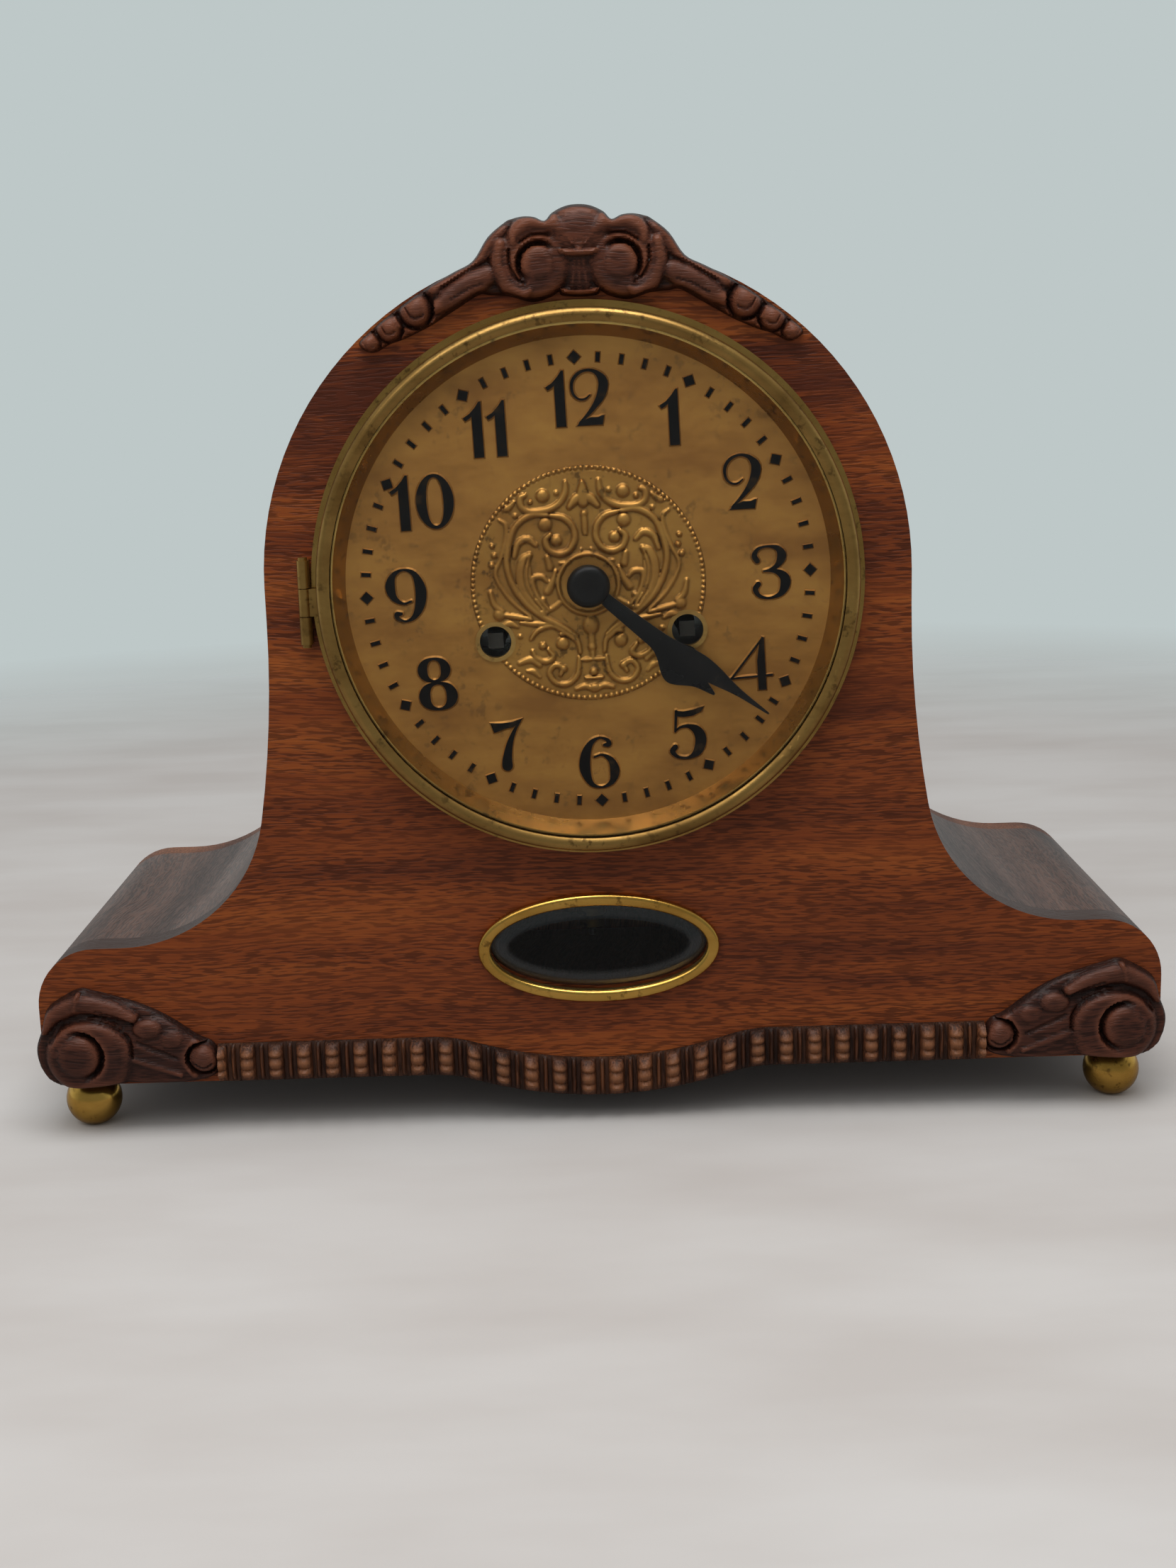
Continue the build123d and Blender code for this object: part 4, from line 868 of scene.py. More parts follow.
def fill_outline(loops: Sequence[np.ndarray], step: float, keep: Callable[[np.ndarray], np.ndarray]) -> Sheet:
    """Fills outlines with small triangles.

    Args:
        loops: Closed outlines that the triangles follow.
        step: Distance between the inner points.
        keep: Tells which places belong to the sheet.

    Returns:
        The sheet.
    """
    every = np.vstack(loops)
    low, high = every.min(0), every.max(0)
    rows = np.arange(low[1], high[1], step * 0.866)
    columns = np.arange(low[0], high[0], step)
    grid = np.array([(x + (i % 2) * step / 2, y) for i, y in enumerate(rows) for x in columns])
    grid = grid[keep(grid)]
    for loop in loops:
        grid = grid[outline_distance(grid, loop) > 0.5 * step]
    edges, count = [], 0
    for loop in loops:
        edges += [(count + i, count + (i + 1) % len(loop)) for i in range(len(loop))]
        count += len(loop)
    corners = [Vector(p) for p in np.vstack([every, grid])]
    found, _, faces, _, _, _ = delaunay_2d_cdt(corners, edges, [], 0, 1e-5)
    points = np.array([tuple(p) for p in found])
    faces = np.array(faces)
    faces = faces[keep(points[faces].mean(1))]
    return Sheet(points, faces, outer_edges(faces))


def outer_edges(faces: np.ndarray) -> np.ndarray:
    """Edges that only one triangle uses, in that triangle's direction.

    Args:
        faces: Triangles as rows of three corners.

    Returns:
        The edges as rows of two corners.
    """
    edges = np.vstack([faces[:, [0, 1]], faces[:, [1, 2]], faces[:, [2, 0]]])
    known = {tuple(edge) for edge in edges.tolist()}
    return np.array([edge for edge in edges.tolist() if (edge[1], edge[0]) not in known])


def closed_faces(sheet: Sheet, first: int = 0) -> list[list[int]]:
    """Faces of a closed piece: front, sides, and a back whose corners follow the front's.

    Args:
        sheet: The front.
        first: Number of its first corner.

    Returns:
        The faces by corner numbers.
    """
    total = len(sheet.points)
    front = sheet.faces.tolist()
    sides = [[b, a, a + total, b + total] for a, b in sheet.rim.tolist()]
    rear = [[c + total, b + total, a + total] for a, b, c in front]
    return [[corner + first for corner in face] for face in front + sides + rear]


def hollows(height: np.ndarray, faces: np.ndarray, rounds: int) -> np.ndarray:
    """How far each corner lies below the ground around it.

    Args:
        height: Height of each corner.
        faces: Triangles.
        rounds: How far around to look.

    Returns:
        Mean height around less own height.
    """
    edges = np.vstack([faces[:, [0, 1]], faces[:, [1, 2]], faces[:, [2, 0]]])
    edges = np.vstack([edges, edges[:, ::-1]])
    count = np.maximum(np.bincount(edges[:, 0], minlength=len(height)), 1)
    mean = height.copy()
    for _ in range(rounds):
        mean = 0.5 * mean + 0.5 * np.bincount(edges[:, 0], mean[edges[:, 1]], len(height)) / count
    return mean - height


def make_piece(name: str, corners: np.ndarray, faces: Iterable[Sequence[int]], finishes: Sequence[Finish],
               body: str = "case", sharp: float = 40.0) -> bpy.types.Object:
    """Makes a mesh object that rides on a body.

    Args:
        name: Name of the piece.
        corners: Corners in millimetres.
        faces: Faces by corner numbers.
        finishes: Its finishes in slot order.
        body: The body that carries it.
        sharp: Angle in degrees above which an edge stays sharp.

    Returns:
        The object.
    """
    mesh = bpy.data.meshes.new(name)
    mesh.from_pydata((np.asarray(corners) * MM).tolist(), [], [list(map(int, face)) for face in faces])
    mesh.shade_smooth()
    mesh.set_sharp_from_angle(angle=math.radians(sharp))
    for finish in finishes:
        mesh.materials.append(finish.material())
    piece = bpy.data.objects.new(name, mesh)
    bpy.context.collection.objects.link(piece)
    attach(piece, body)
    log.info("%s: %d faces on %s", name, len(mesh.polygons), body)
    return piece


def keep_depth(piece: bpy.types.Object, depth: np.ndarray) -> None:
    """Stores how deep each corner lies, which the finish reads as painted shade and painted highlight."""
    layer = piece.data.attributes.new("hollow", "FLOAT", "POINT")
    layer.data.foreach_set("value", np.asarray(depth, np.float32))


def on_board(points: np.ndarray, height: np.ndarray) -> np.ndarray:
    """Places a carving on the front board: points are measured from the dial's centre."""
    return np.column_stack([points[:, 0], BOARD_FACE - height, DIAL_HEIGHT + points[:, 1]])


def on_dial(points: np.ndarray, height: np.ndarray) -> np.ndarray:
    """Places dial work in front of the board, turned as the dial is.

    Args:
        points: Places measured from the dial's centre.
        height: Height above the board's face.

    Returns:
        The places in the clock's own frame.
    """
    c, s = math.cos(DIAL_TURN), math.sin(DIAL_TURN)
    x, y = points.T
    return np.column_stack([x * c - y * s, BOARD_FACE - height, DIAL_HEIGHT + x * s + y * c])


def closed_relief(name: str, sheet: Sheet, height: np.ndarray, back: np.ndarray,
                  finish: Finish) -> bpy.types.Object:
    """Makes a carving with a back and sides.

    Args:
        name: Name of the piece.
        sheet: The flat mesh.
        height: Height of its face.
        back: Height of its back.
        finish: The finish of the wood.

    Returns:
        The object.
    """
    corners = np.vstack([on_board(sheet.points, height), on_board(sheet.points, back)])
    piece = make_piece(name, corners, closed_faces(sheet), [finish], sharp=55.0)
    # Depth below the surrounding carving, read by the finish as painted shade in hollows and a painted
    # highlight on tops.
    depth = hollows(height, sheet.faces, rounds=14)
    keep_depth(piece, np.concatenate([depth, np.zeros(len(depth))]))
    return piece


def edge_round(points: np.ndarray, outline: np.ndarray, radius: float) -> np.ndarray:
    """Share of the height that is left near the outline, where the edge is rounded.

    Args:
        points: Places on the carving.
        outline: Its closed outline.
        radius: Radius of the rounding.

    Returns:
        A share from 0 at the outline to 1.
    """
    near = outline_distance(points, outline)
    return half_round(1 - np.clip(near / radius, 0, 1))


@dataclass
class CrestCarving:
    """The carved crest on the arch: two volutes, a shell between them and three beads a side."""

    arch_radius: float = 104.4
    arch_rise: float = 1.4
    slab: float = 3.0
    edge: float = 1.6
    step: float = 0.72
    seam: float = 0.4
    block: float = 11.8

    def outline(self) -> np.ndarray:
        """Right and left outline from the top round to the top.

        Returns:
            The outline as rows of points.
        """
        half = [
            (0, 117.7), (4, 117.2), (8, 115.3), (10.4, 113), (13.5, 114.2), (17, 114.5), (20.5, 113.8),
            (22.8, 112.8), (28.2, 108.5), (33, 101.6), (39, 98.4), (47, 94.3), (54, 89.9), (58, 87.2),
            (62, 84.4), (66, 81.2), (69.8, 77.6), (67.5, 75), (64.4, 74.7), (60, 77), (55.3, 78.5),
            (47.5, 82), (44, 84), (38, 87.5), (31.5, 91.2), (28, 91), (22, 90.5), (15, 88.6), (9, 90),
            (6.5, 91.5), (5.5, 90.3), (0, 89.8),
        ]
        other = [(-x, y) for x, y in reversed(half[1:-1])]
        return flowing(half + other, 4, True)

    def cuts(self) -> list[Cut]:
        """The carver's cuts on the right half.

        Returns:
            The cuts in working order.
        """
        volute, eye = (14.1, 100.9), (12.5, 99.9)
        cuts: list[Cut] = [
            Ridge(((24.5, 110, 3.4), (29, 104.6, 3.6), (35.5, 98.9, 3.4), (45, 93.6, 2.6)), 4.9, 2.2),
            Ridge(((28.5, 97, 3.6), (34, 94.4, 4.4), (40, 91, 4.0), (45, 87.6, 2.0)), 5.9, 2.0),
            Vein(((27.6, 101.8, 0.6), (34.5, 98.4, 0.7), (43, 93.4, 0.5)), 1.0),
            Vein(((30, 94.6, 0.4), (35, 92.8, 0.5), (40, 90, 0.35)), 0.5),
            Dome((0, 102.5), (8.6, 9.5), 4.8, 3.0),
            Dome(volute, (12.3, 12.3), 6.3, 1.5, 0.62),
            Ridge(((4.5, 109.5, 3.2), (9, 112.2, 3.4), (15, 112.3, 3.2), (19.5, 109.3, 2.4),
                  (20.3, 106.3, 1.2)), 7.4, 3.0),
            Ridge(((24.3, 106, 2.4), (24.8, 100, 3.0), (22.5, 94.5, 3.0), (18, 91.3, 2.4),
                  (15.2, 92.2, 1.2)), 6.8, 2.5),
            Vein(((6.8, 107.6, 0.5), (10.5, 108.7, 0.7), (14.8, 108.5, 0.7), (18.4, 106.4, 0.5)), 1.5),
            Vein(((21.6, 104.5, 0.5), (21.6, 100, 0.7), (19.8, 96, 0.7), (17, 94, 0.4)), 1.5),
            Ring(eye, 5.2, 7.4, 2.6, 40),
            Dome(eye, (5.8, 5.8), 7.1, 4.8, 0.5),
            Dome((0, 109.2), (10.8, 8.8), 7.4, 2.0, 0.1),
            Fan((0, 103.4), 1, 50, 13.6, 5, 7.7, 1.6, 0.35),
            Fan((0, 112), -1, 17, 22.6, 5, 5.4, 0.6, 0.9),
            Ridge(((0, 91.0, 0.9), (3.0, 91.1, 0.9), (5.6, 91.9, 0.7)), 5.3, 2.0),
            Ridge(((0, 103.1, 1.3), (3.2, 103.2, 1.3), (5.6, 103.7, 0.9)), 8.0, 3.0),
        ]
        for x, y, r, top in ((51.5, 87.1, 5.2, 6.4), (60, 81.9, 4.1, 5.6), (66.4, 77.4, 3.2, 5.0)):
            turns = [math.radians(a) for a in range(-150, 31, 30)]
            arc = tuple((x + (r + 1.2) * math.cos(t), y + (r + 1.2) * math.sin(t), 1.2) for t in turns)
            crease = ((x - r * 0.5, y - r * 0.3, 0.5), (x + r * 0.1, y - r * 0.45, 0.6),
                      (x + r * 0.55, y + r * 0.1, 0.4))
            cuts += [
                Ridge(arc, 4.2, 1.5),
                Ring((x, y), r - 0.3, r + 1.0, 1.2),
                Dome((x, y), (r, r), top, 1.0),
                Vein(crease, 0.9),
            ]
        return cuts

    def build(self) -> None:
        """Carves the crest and puts it in the place of the plain one."""
        outline = self.outline()
        sheet = fill_outline([outline], self.step, lambda points: inside(points, outline))
        height = carve(folded(sheet.points), self.slab, self.cuts())
        height = np.maximum(height * edge_round(sheet.points, outline, self.edge), THINNEST)
        reach = np.hypot(sheet.points[:, 0], sheet.points[:, 1] - self.arch_rise)
        back = np.where(reach > self.arch_radius + self.seam, -self.block, -SUNK)
        piece = closed_relief("crest_relief", sheet, height, back, Palette.carving)
        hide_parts("crest_carving")


@dataclass
class CornerCarving:
    """A carved corner: a volute at the end and leaves that run in along the base."""

    slab: float = 2.4
    edge: float = 1.6
    step: float = 0.72

    def outline(self) -> list[Point]:
        """Outline of the right corner.

        Returns:
            The points that the outline flows through.
        """
        return [
            (191.2, -152), (190.7, -158), (188.2, -163), (183.6, -165.8), (177, -166.3), (164, -165.4),
            (150, -165.4), (137.6, -165.3), (130.6, -162.7), (129.2, -157.5), (131.4, -151.8),
            (136.7, -148.9), (145.3, -142.6), (154, -137.9), (163, -134.6), (170.5, -132.4),
            (174.7, -131.4), (180, -133.6), (186.4, -138.1), (188.6, -144.8),
        ]

    def cuts(self) -> list[Cut]:
        """The carver's cuts on the right corner.

        Returns:
            The cuts in working order.
        """
        scroll, eye, bead = (172.4, -154.6), (176.6, -154.2), (134.6, -156.6)
        arc = tuple((bead[0] + 6.6 * math.cos(t), bead[1] + 6.6 * math.sin(t), 1.5)
                    for t in (math.radians(a) for a in range(-60, 121, 30)))
        return [
            Dome((150, -155), (17, 13.5), 4.6, 1.8, 0.25),
            Ridge(((188, -145, 2.0), (183.4, -139.4, 3.2), (174.5, -136.2, 3.6), (165, -138, 3.4),
                   (157.5, -141.4, 2.2)), 5.4, 1.8),
            Ridge(((176.4, -137.6, 1.8), (175.2, -132.9, 1.0)), 5.6, 2.0),
            Vein(((169.5, -138.6, 0.5), (162, -141.2, 0.6), (156.6, -144.4, 0.4)), 0.8),
            Dome((152.6, -145.6), (5.4, 3.8), 5.8, 3.0, 0.2),
            Dome((145, -149.6), (4.8, 3.8), 5.4, 3.0, 0.2),
            Ridge(((158, -156, 1.8), (150.5, -158.8, 2.0), (142.4, -161.8, 1.2)), 5.4, 2.6),
            Vein(((156.5, -150, 0.9), (150.5, -152.8, 1.1), (143.5, -156, 0.7)), 0.9),
            Dome(scroll, (15.6, 13.8), 6.2, 1.5, 0.68),
            Vein(((185.8, -149.6, 0.6), (181, -143.9, 0.8), (173, -142, 0.8), (164.6, -144.2, 0.8),
                  (159.2, -149.2, 0.7), (158.4, -155, 0.5)), 1.5),
            Ring(eye, 7.0, 9.3, 2.8, 165),
            Dome(eye, (7.5, 7.5), 7.6, 4.6, 0.45),
            Ridge(arc, 4.4, 1.0),
            Ring(bead, 4.6, 6.0, 1.0),
            Dome(bead, (5.2, 5.2), 6.0, 1.0),
            Vein(((131.6, -158.2, 0.5), (134.6, -159.6, 0.6), (137.8, -157.8, 0.4)), 0.9),
        ]

    def build(self) -> None:
        """Carves both corners and puts them in the place of the plain ones."""
        for side, word in ((-1, "left"), (1, "right")):
            outline = flowing(self.outline(), 5, True) * (side, 1)
            sheet = fill_outline([outline], self.step, lambda points: inside(points, outline))
            height = carve(sheet.points * (side, 1), self.slab, self.cuts())
            height = np.maximum(height * edge_round(sheet.points, outline, self.edge), THINNEST)
            back = np.full(len(height), -SUNK)
            piece = closed_relief(f"{word}_corner_relief", sheet, height, back, Palette.corner)
            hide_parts(f"{word}_corner_carving")


@dataclass
class FlutedBand:
    """The fluted band along the wavy lower edge."""

    half_length: float = 129.8
    foot: float = 18.0
    tall: float = 13.5
    pitch: float = 9.6
    rib_share: float = 0.56
    dip: float = 8.8
    dip_radius: float = 145.0
    blend_radius: float = 50.0
    columns: int = 1080
    rows: int = 24
    ground: float = 0.4
    groove: float = 0.7
    rib_height: float = 4.7
    bead_height: float = 1.5
    bead_radius: float = 0.75
    notch_depth: float = 0.6
    notch_width: float = 0.035
    notch_shares: Point = (0.34, 0.66)
    sunk: float = 0.2
    shade_level: float = 3.0
    shade_span: float = 2.2
    shade_limits: Point = (-0.7, 0.9)

    def wave(self, x: np.ndarray) -> np.ndarray:
        """Height of the lower edge against its level ends.

        Args:
            x: Places along the band.

        Returns:
            The height at each place.
        """
        reach = self.dip_radius + self.blend_radius
        turn = math.acos(1 - self.dip / reach)
        run, turn_over = reach * math.sin(turn), self.dip_radius * math.sin(turn)
        far = np.abs(x)
        bowl = self.dip_radius - self.dip - np.sqrt(np.clip(self.dip_radius**2 - far**2, 0, None))
        blend = np.sqrt(np.clip(self.blend_radius**2 - (run - far) ** 2, 0, None)) - self.blend_radius
        return np.where(far < turn_over, bowl, np.where(far < run, blend, 0.0))

    def profile(self, x: np.ndarray, share: np.ndarray) -> np.ndarray:
        """Height of the carved face at a place along and up the band.

        Args:
            x: Place along the band.
            share: Place up the band, from 0 to 1.

        Returns:
            The height at each place.
        """
        place = (x / self.pitch) % 1.0 - 0.5
        rib = half_round(place / (self.rib_share / 2)) ** 0.7
        off = np.abs(np.abs(place) - 0.5) * self.pitch
        bead = self.bead_height * half_round(off / self.bead_radius)
        crown = np.clip(1 - np.abs(2 * share - 1) ** 5, 0, 1)
        notch = sum(np.exp(-(((share - level) / self.notch_width) ** 2)) for level in self.notch_shares)
        swell = 0.82 + 0.18 * np.cos((share - 0.5) * 4 * math.pi) ** 2
        barrel = (self.rib_height * swell - self.notch_depth * notch) * rib
        return self.ground + np.maximum(self.groove + bead, barrel) * crown

    def build(self) -> None:
        """Carves the band and puts it in the place of the plain one."""
        x = np.linspace(-self.half_length, self.half_length, self.columns)
        share = np.linspace(0, 1, self.rows)
        across, up = np.meshgrid(x, share)
        height = self.profile(across, up).ravel()
        level = (self.wave(across) + self.foot + up * self.tall - DIAL_HEIGHT).ravel()
        points = np.column_stack([across.ravel(), level])
        first = np.arange(self.rows * self.columns).reshape(self.rows, self.columns)
        cells = np.stack([first[:-1, :-1], first[:-1, 1:], first[1:, 1:], first[1:, :-1]], -1).reshape(-1, 4)
        faces = np.vstack([cells[:, [0, 1, 2]], cells[:, [0, 2, 3]]])
        sheet = Sheet(points, faces, outer_edges(faces))
        back = np.full(len(height), -self.sunk)
        piece = closed_relief("fluted_relief", sheet, height, back, Palette.fluting)
        # Painted shade in the grooves and, below zero, a painted highlight on the ribs, set by height for the
        # finish.
        shade = np.clip((self.shade_level - height) / self.shade_span, *self.shade_limits)
        piece.data.attributes["hollow"].data.foreach_set("value", np.tile(shade, 2).astype(np.float32))
        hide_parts("fluted_band")


@dataclass
class Rosette:
    """The embossed round in the middle of the dial: scrolls, leaves and a vase."""

    rim: float = 37.9
    boss: float = 4.5
    hole: float = 6.3
    hole_place: Point = (31.1, -16.85)
    ground: float = 0.3
    step: float = 0.4
    lift: float = 0.15
    sunk: float = 0.1
    beads: int = 132
    bead_radius: float = 0.72
    bead_inset: float = 0.8
    bead_top: float = 0.95
    rim_level: float = 0.15
    collar_radius: float = 9.6
    collar_half_width: float = 0.9
    collar_top: float = 1.3
    cup_radius: float = 9.0
    cup_level: float = 0.5
    shade: float = 1.6

    def cuts(self) -> list[Cut]:
        """The embossing of the right half.

        Returns:
            The cuts in working order.
        """
        def line(path: Sequence[Point], width: float, top: float = 1.25) -> Ridge:
            """A scroll of even width with thinner ends.

            Args:
                path: Points of the scroll.
                width: Half its width.
                top: Height of its middle.

            Returns:
                The rib.
            """
            last = len(path) - 1
            body = tuple((*p, width * (0.72 if i in (0, last) else 1.0)) for i, p in enumerate(path))
            return Ridge(body, top, 0.2)

        def bud(x: float, y: float, r: float, top: float = 1.5) -> Dome:
            """A round bud."""
            return Dome((x, y), (r, r), top, 0.2)

        scrolls = [
            line([(27.1, 22.1), (25.1, 20.3), (25.4, 16.3), (27.5, 10), (29.5, 5.3), (28.1, 0.8),
                  (24.4, -4.6), (19.2, -9.4)], 0.75, 1.0),
            line([(5.29, 32.8), (5.65, 29.4), (7.95, 26.1), (11.7, 24.4), (16.7, 24.1), (19.6, 25.7),
                  (20, 28.5), (18.4, 29.5)], 1.15),
            line([(11.9, 22.8), (17.2, 23), (22, 19.9), (24.4, 14.7), (25.7, 7.8), (24.2, 1.1), (20.5, -4.9),
                  (15.2, -9.7), (8.3, -13.9), (5, -16.5)], 1.15, 1.35),
            line([(10.5, 22.6), (6.6, 21.6), (3.9, 18.7), (3.4, 14.8), (5.4, 11.3), (8.6, 10.2),
                  (11.8, 11.7), (12.8, 14.8), (11.2, 16.6)], 1.15, 1.4),
            line([(13.2, -7.3), (16.8, -2.4), (17.7, 2.6), (14.9, 3.3), (13.1, 1.7)], 1.0, 1.2),
            line([(23.1, 10.2), (21.7, 14.2), (18.5, 15.6), (16, 13.5)], 1.2),
            line([(31.6, -0.8), (30.5, -4.9), (28.1, -7.1)], 1.1),
            line([(28.1, -8.2), (24.2, -9.1), (19.1, -10.2)], 1.0),
            line([(22.6, -11.1), (17.6, -11.9), (12.6, -12)], 0.9, 1.1),
            line([(4.4, -23.7), (5.2, -28.9), (8.3, -31.9), (12.2, -31.6), (14.4, -28.3), (12.6, -25.7),
                  (10, -26.6), (10.8, -28.9)], 1.0),
            line([(4, -22), (4.7, -18.1), (7.7, -15.5), (9.9, -15.6)], 1.0),
            line([(19.3, -20.6), (18.3, -22.9), (15.1, -24.3), (12.7, -22.7), (14.3, -20.4)], 1.0),
            line([(19.6, -16.7), (17.2, -14), (12.7, -12.8), (9.5, -14.4), (5.8, -17.5)], 0.9),
            line([(23.9, -24.3), (20, -23.4), (17.4, -25.4)], 1.2, 1.1),
            line([(0.2, 16.1), (0.2, 19.4), (0.2, 22.6)], 0.9),
            line([(0, -13.2), (0, -18), (0, -24)], 1.2, 1.2),
            line([(0, -24.4), (2, -24.4), (3.6, -24.4)], 0.8, 1.3),
            line([(0, -30.5), (1.6, -30.5), (2.8, -30.5)], 0.7, 1.3),
            line([(0.4, -34.6), (3, -33.2), (6, -33.9)], 1.0, 1.2),
            line([(1.6, 11.2), (2.8, 8.8), (5.8, 7.4), (8.6, 7.2)], 0.8, 1.0),
            line([(8.2, -4.4), (11, -6.6), (13.6, -8)], 0.9, 1.0),
        ]
        leaves = [
            Ridge(((15.3, -8.5, 1.6), (19, -3.1, 2.6), (20.4, 2.5, 2.8), (20.2, 8.1, 2.2),
                   (18.2, 10.5, 1.0)), 1.4, 0.3),
            Ridge(((0.2, 28.5, 1.4), (2.4, 27.2, 1.6), (4.5, 25, 1.0)), 1.5, 0.3),
            Ridge(((0, 26, 1.6), (0, 29, 2.0), (0, 32.6, 0.8)), 1.7, 0.3),
            Ridge(((11.9, 6, 1.3), (12.6, 9.3, 1.0)), 1.3, 0.3),
            Ridge(((13.2, -1.6, 1.3), (11.4, 1.4, 1.2), (10.2, 4.8, 0.7)), 1.2, 0.3),
            Ridge(((27, 26.6, 0.7), (24.4, 25.6, 1.2), (22, 27.6, 0.6)), 1.1, 0.2),
            Ridge(((28.6, -12.2, 0.8), (26, -11.2, 1.2), (23.6, -12.4, 0.6)), 1.1, 0.2),
            Ridge(((17.6, -29.2, 0.6), (19.4, -27.4, 1.0), (21.6, -27, 0.5)), 1.0, 0.2),
            Vein(((15.6, -7.4, 0.45), (19.4, -1.6, 0.5), (20.3, 4.5, 0.5), (19, 9.4, 0.35)), 0.5),
            Vein(((17.2, -3.6, 0.35), (18.9, 1.8, 0.4), (18.6, 6.6, 0.3)), 0.35),
        ]
        buds = [
            bud(12.8, 29, 2.2, 1.7), bud(12.57, 19.9, 2.3, 1.6), bud(0, 22.6, 1.2), bud(9.3, 14.6, 1.9, 1.6),
            bud(29.5, 11, 1.0), bud(30.5, 8, 1.1), bud(30, 14, 0.9), bud(29.2, -8, 2.0),
            bud(9.4, -18.7, 2.2, 1.6), bud(15.9, -19.1, 1.3), bud(9.7, -26.9, 1.3), bud(0, -20.4, 1.5),
            bud(0, -28.5, 1.4), bud(16.9, 27.2, 0.9), Dome((0, -13.3), (2.6, 3.2), 1.8, 0.3),
            Dome((0, -33.6), (2.0, 1.3), 1.5, 0.3), bud(14.9, -4.4, 1.2, 1.2), bud(8.4, 29.6, 0.9, 1.1),
            bud(21.9, 23.2, 0.9, 1.1), bud(26.4, -2, 0.8, 0.9), bud(23, -15.6, 0.9, 1.0),
        ]
        return scrolls + leaves + buds

    def build(self) -> None:
        """Embosses the round and puts it in the place of the plain one."""
        turns = np.linspace(0, 2 * math.pi, 240, endpoint=False)
        circle = np.column_stack([np.cos(turns), np.sin(turns)])
        across, down = self.hole_place
        holes = [circle[::6] * self.hole + (side * across, down) for side in (-1, 1)]

        def keep(points: np.ndarray) -> np.ndarray:
            """Inside the rim and outside the holes.

            Args:
                points: Places on the dial.

            Returns:
                True for each place on the round.
            """
            away = np.hypot(*points.T)
            apart = np.hypot(np.abs(points[:, 0]) - across, points[:, 1] - down)
            return (away < self.rim - MM) & (away > self.boss) & (apart > self.hole)

        loops = [circle * self.rim, circle[::8] * self.boss, *holes]
        sheet = fill_outline(loops, self.step, keep)
        away = np.hypot(*sheet.points.T)
        height = carve(folded(sheet.points), self.ground, self.cuts())
        middle = self.rim - self.bead_inset
        turn = np.arctan2(sheet.points[:, 1], sheet.points[:, 0]) * self.beads / (2 * math.pi)
        pitch = 2 * math.pi * middle / self.beads
        bead = np.hypot((turn - np.round(turn)) * pitch, away - middle)
        collar = (away - self.collar_radius) / self.collar_half_width
        height = np.where(away > middle - self.bead_inset, self.rim_level, height)
        height = np.maximum(height, self.bead_top * half_round(bead / self.bead_radius))
        height = np.maximum(height, self.collar_top * half_round(collar))
        height = np.where(away < self.cup_radius, self.cup_level, height)
        corners = np.vstack([
            on_dial(sheet.points, PLATE_FACE + self.lift + height),
            on_dial(sheet.points, np.full(len(height), PLATE_FACE - self.sunk)),
        ])
        piece = make_piece("rosette_relief", corners, closed_faces(sheet), [Palette.embossed], sharp=60.0)
        # Depth below the surrounding embossing, read by the finish as painted shade in the hollows.
        depth = self.shade * hollows(height, sheet.faces, rounds=10)
        keep_depth(piece, np.concatenate([depth, np.zeros(len(depth))]))
        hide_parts("dial_rosette")


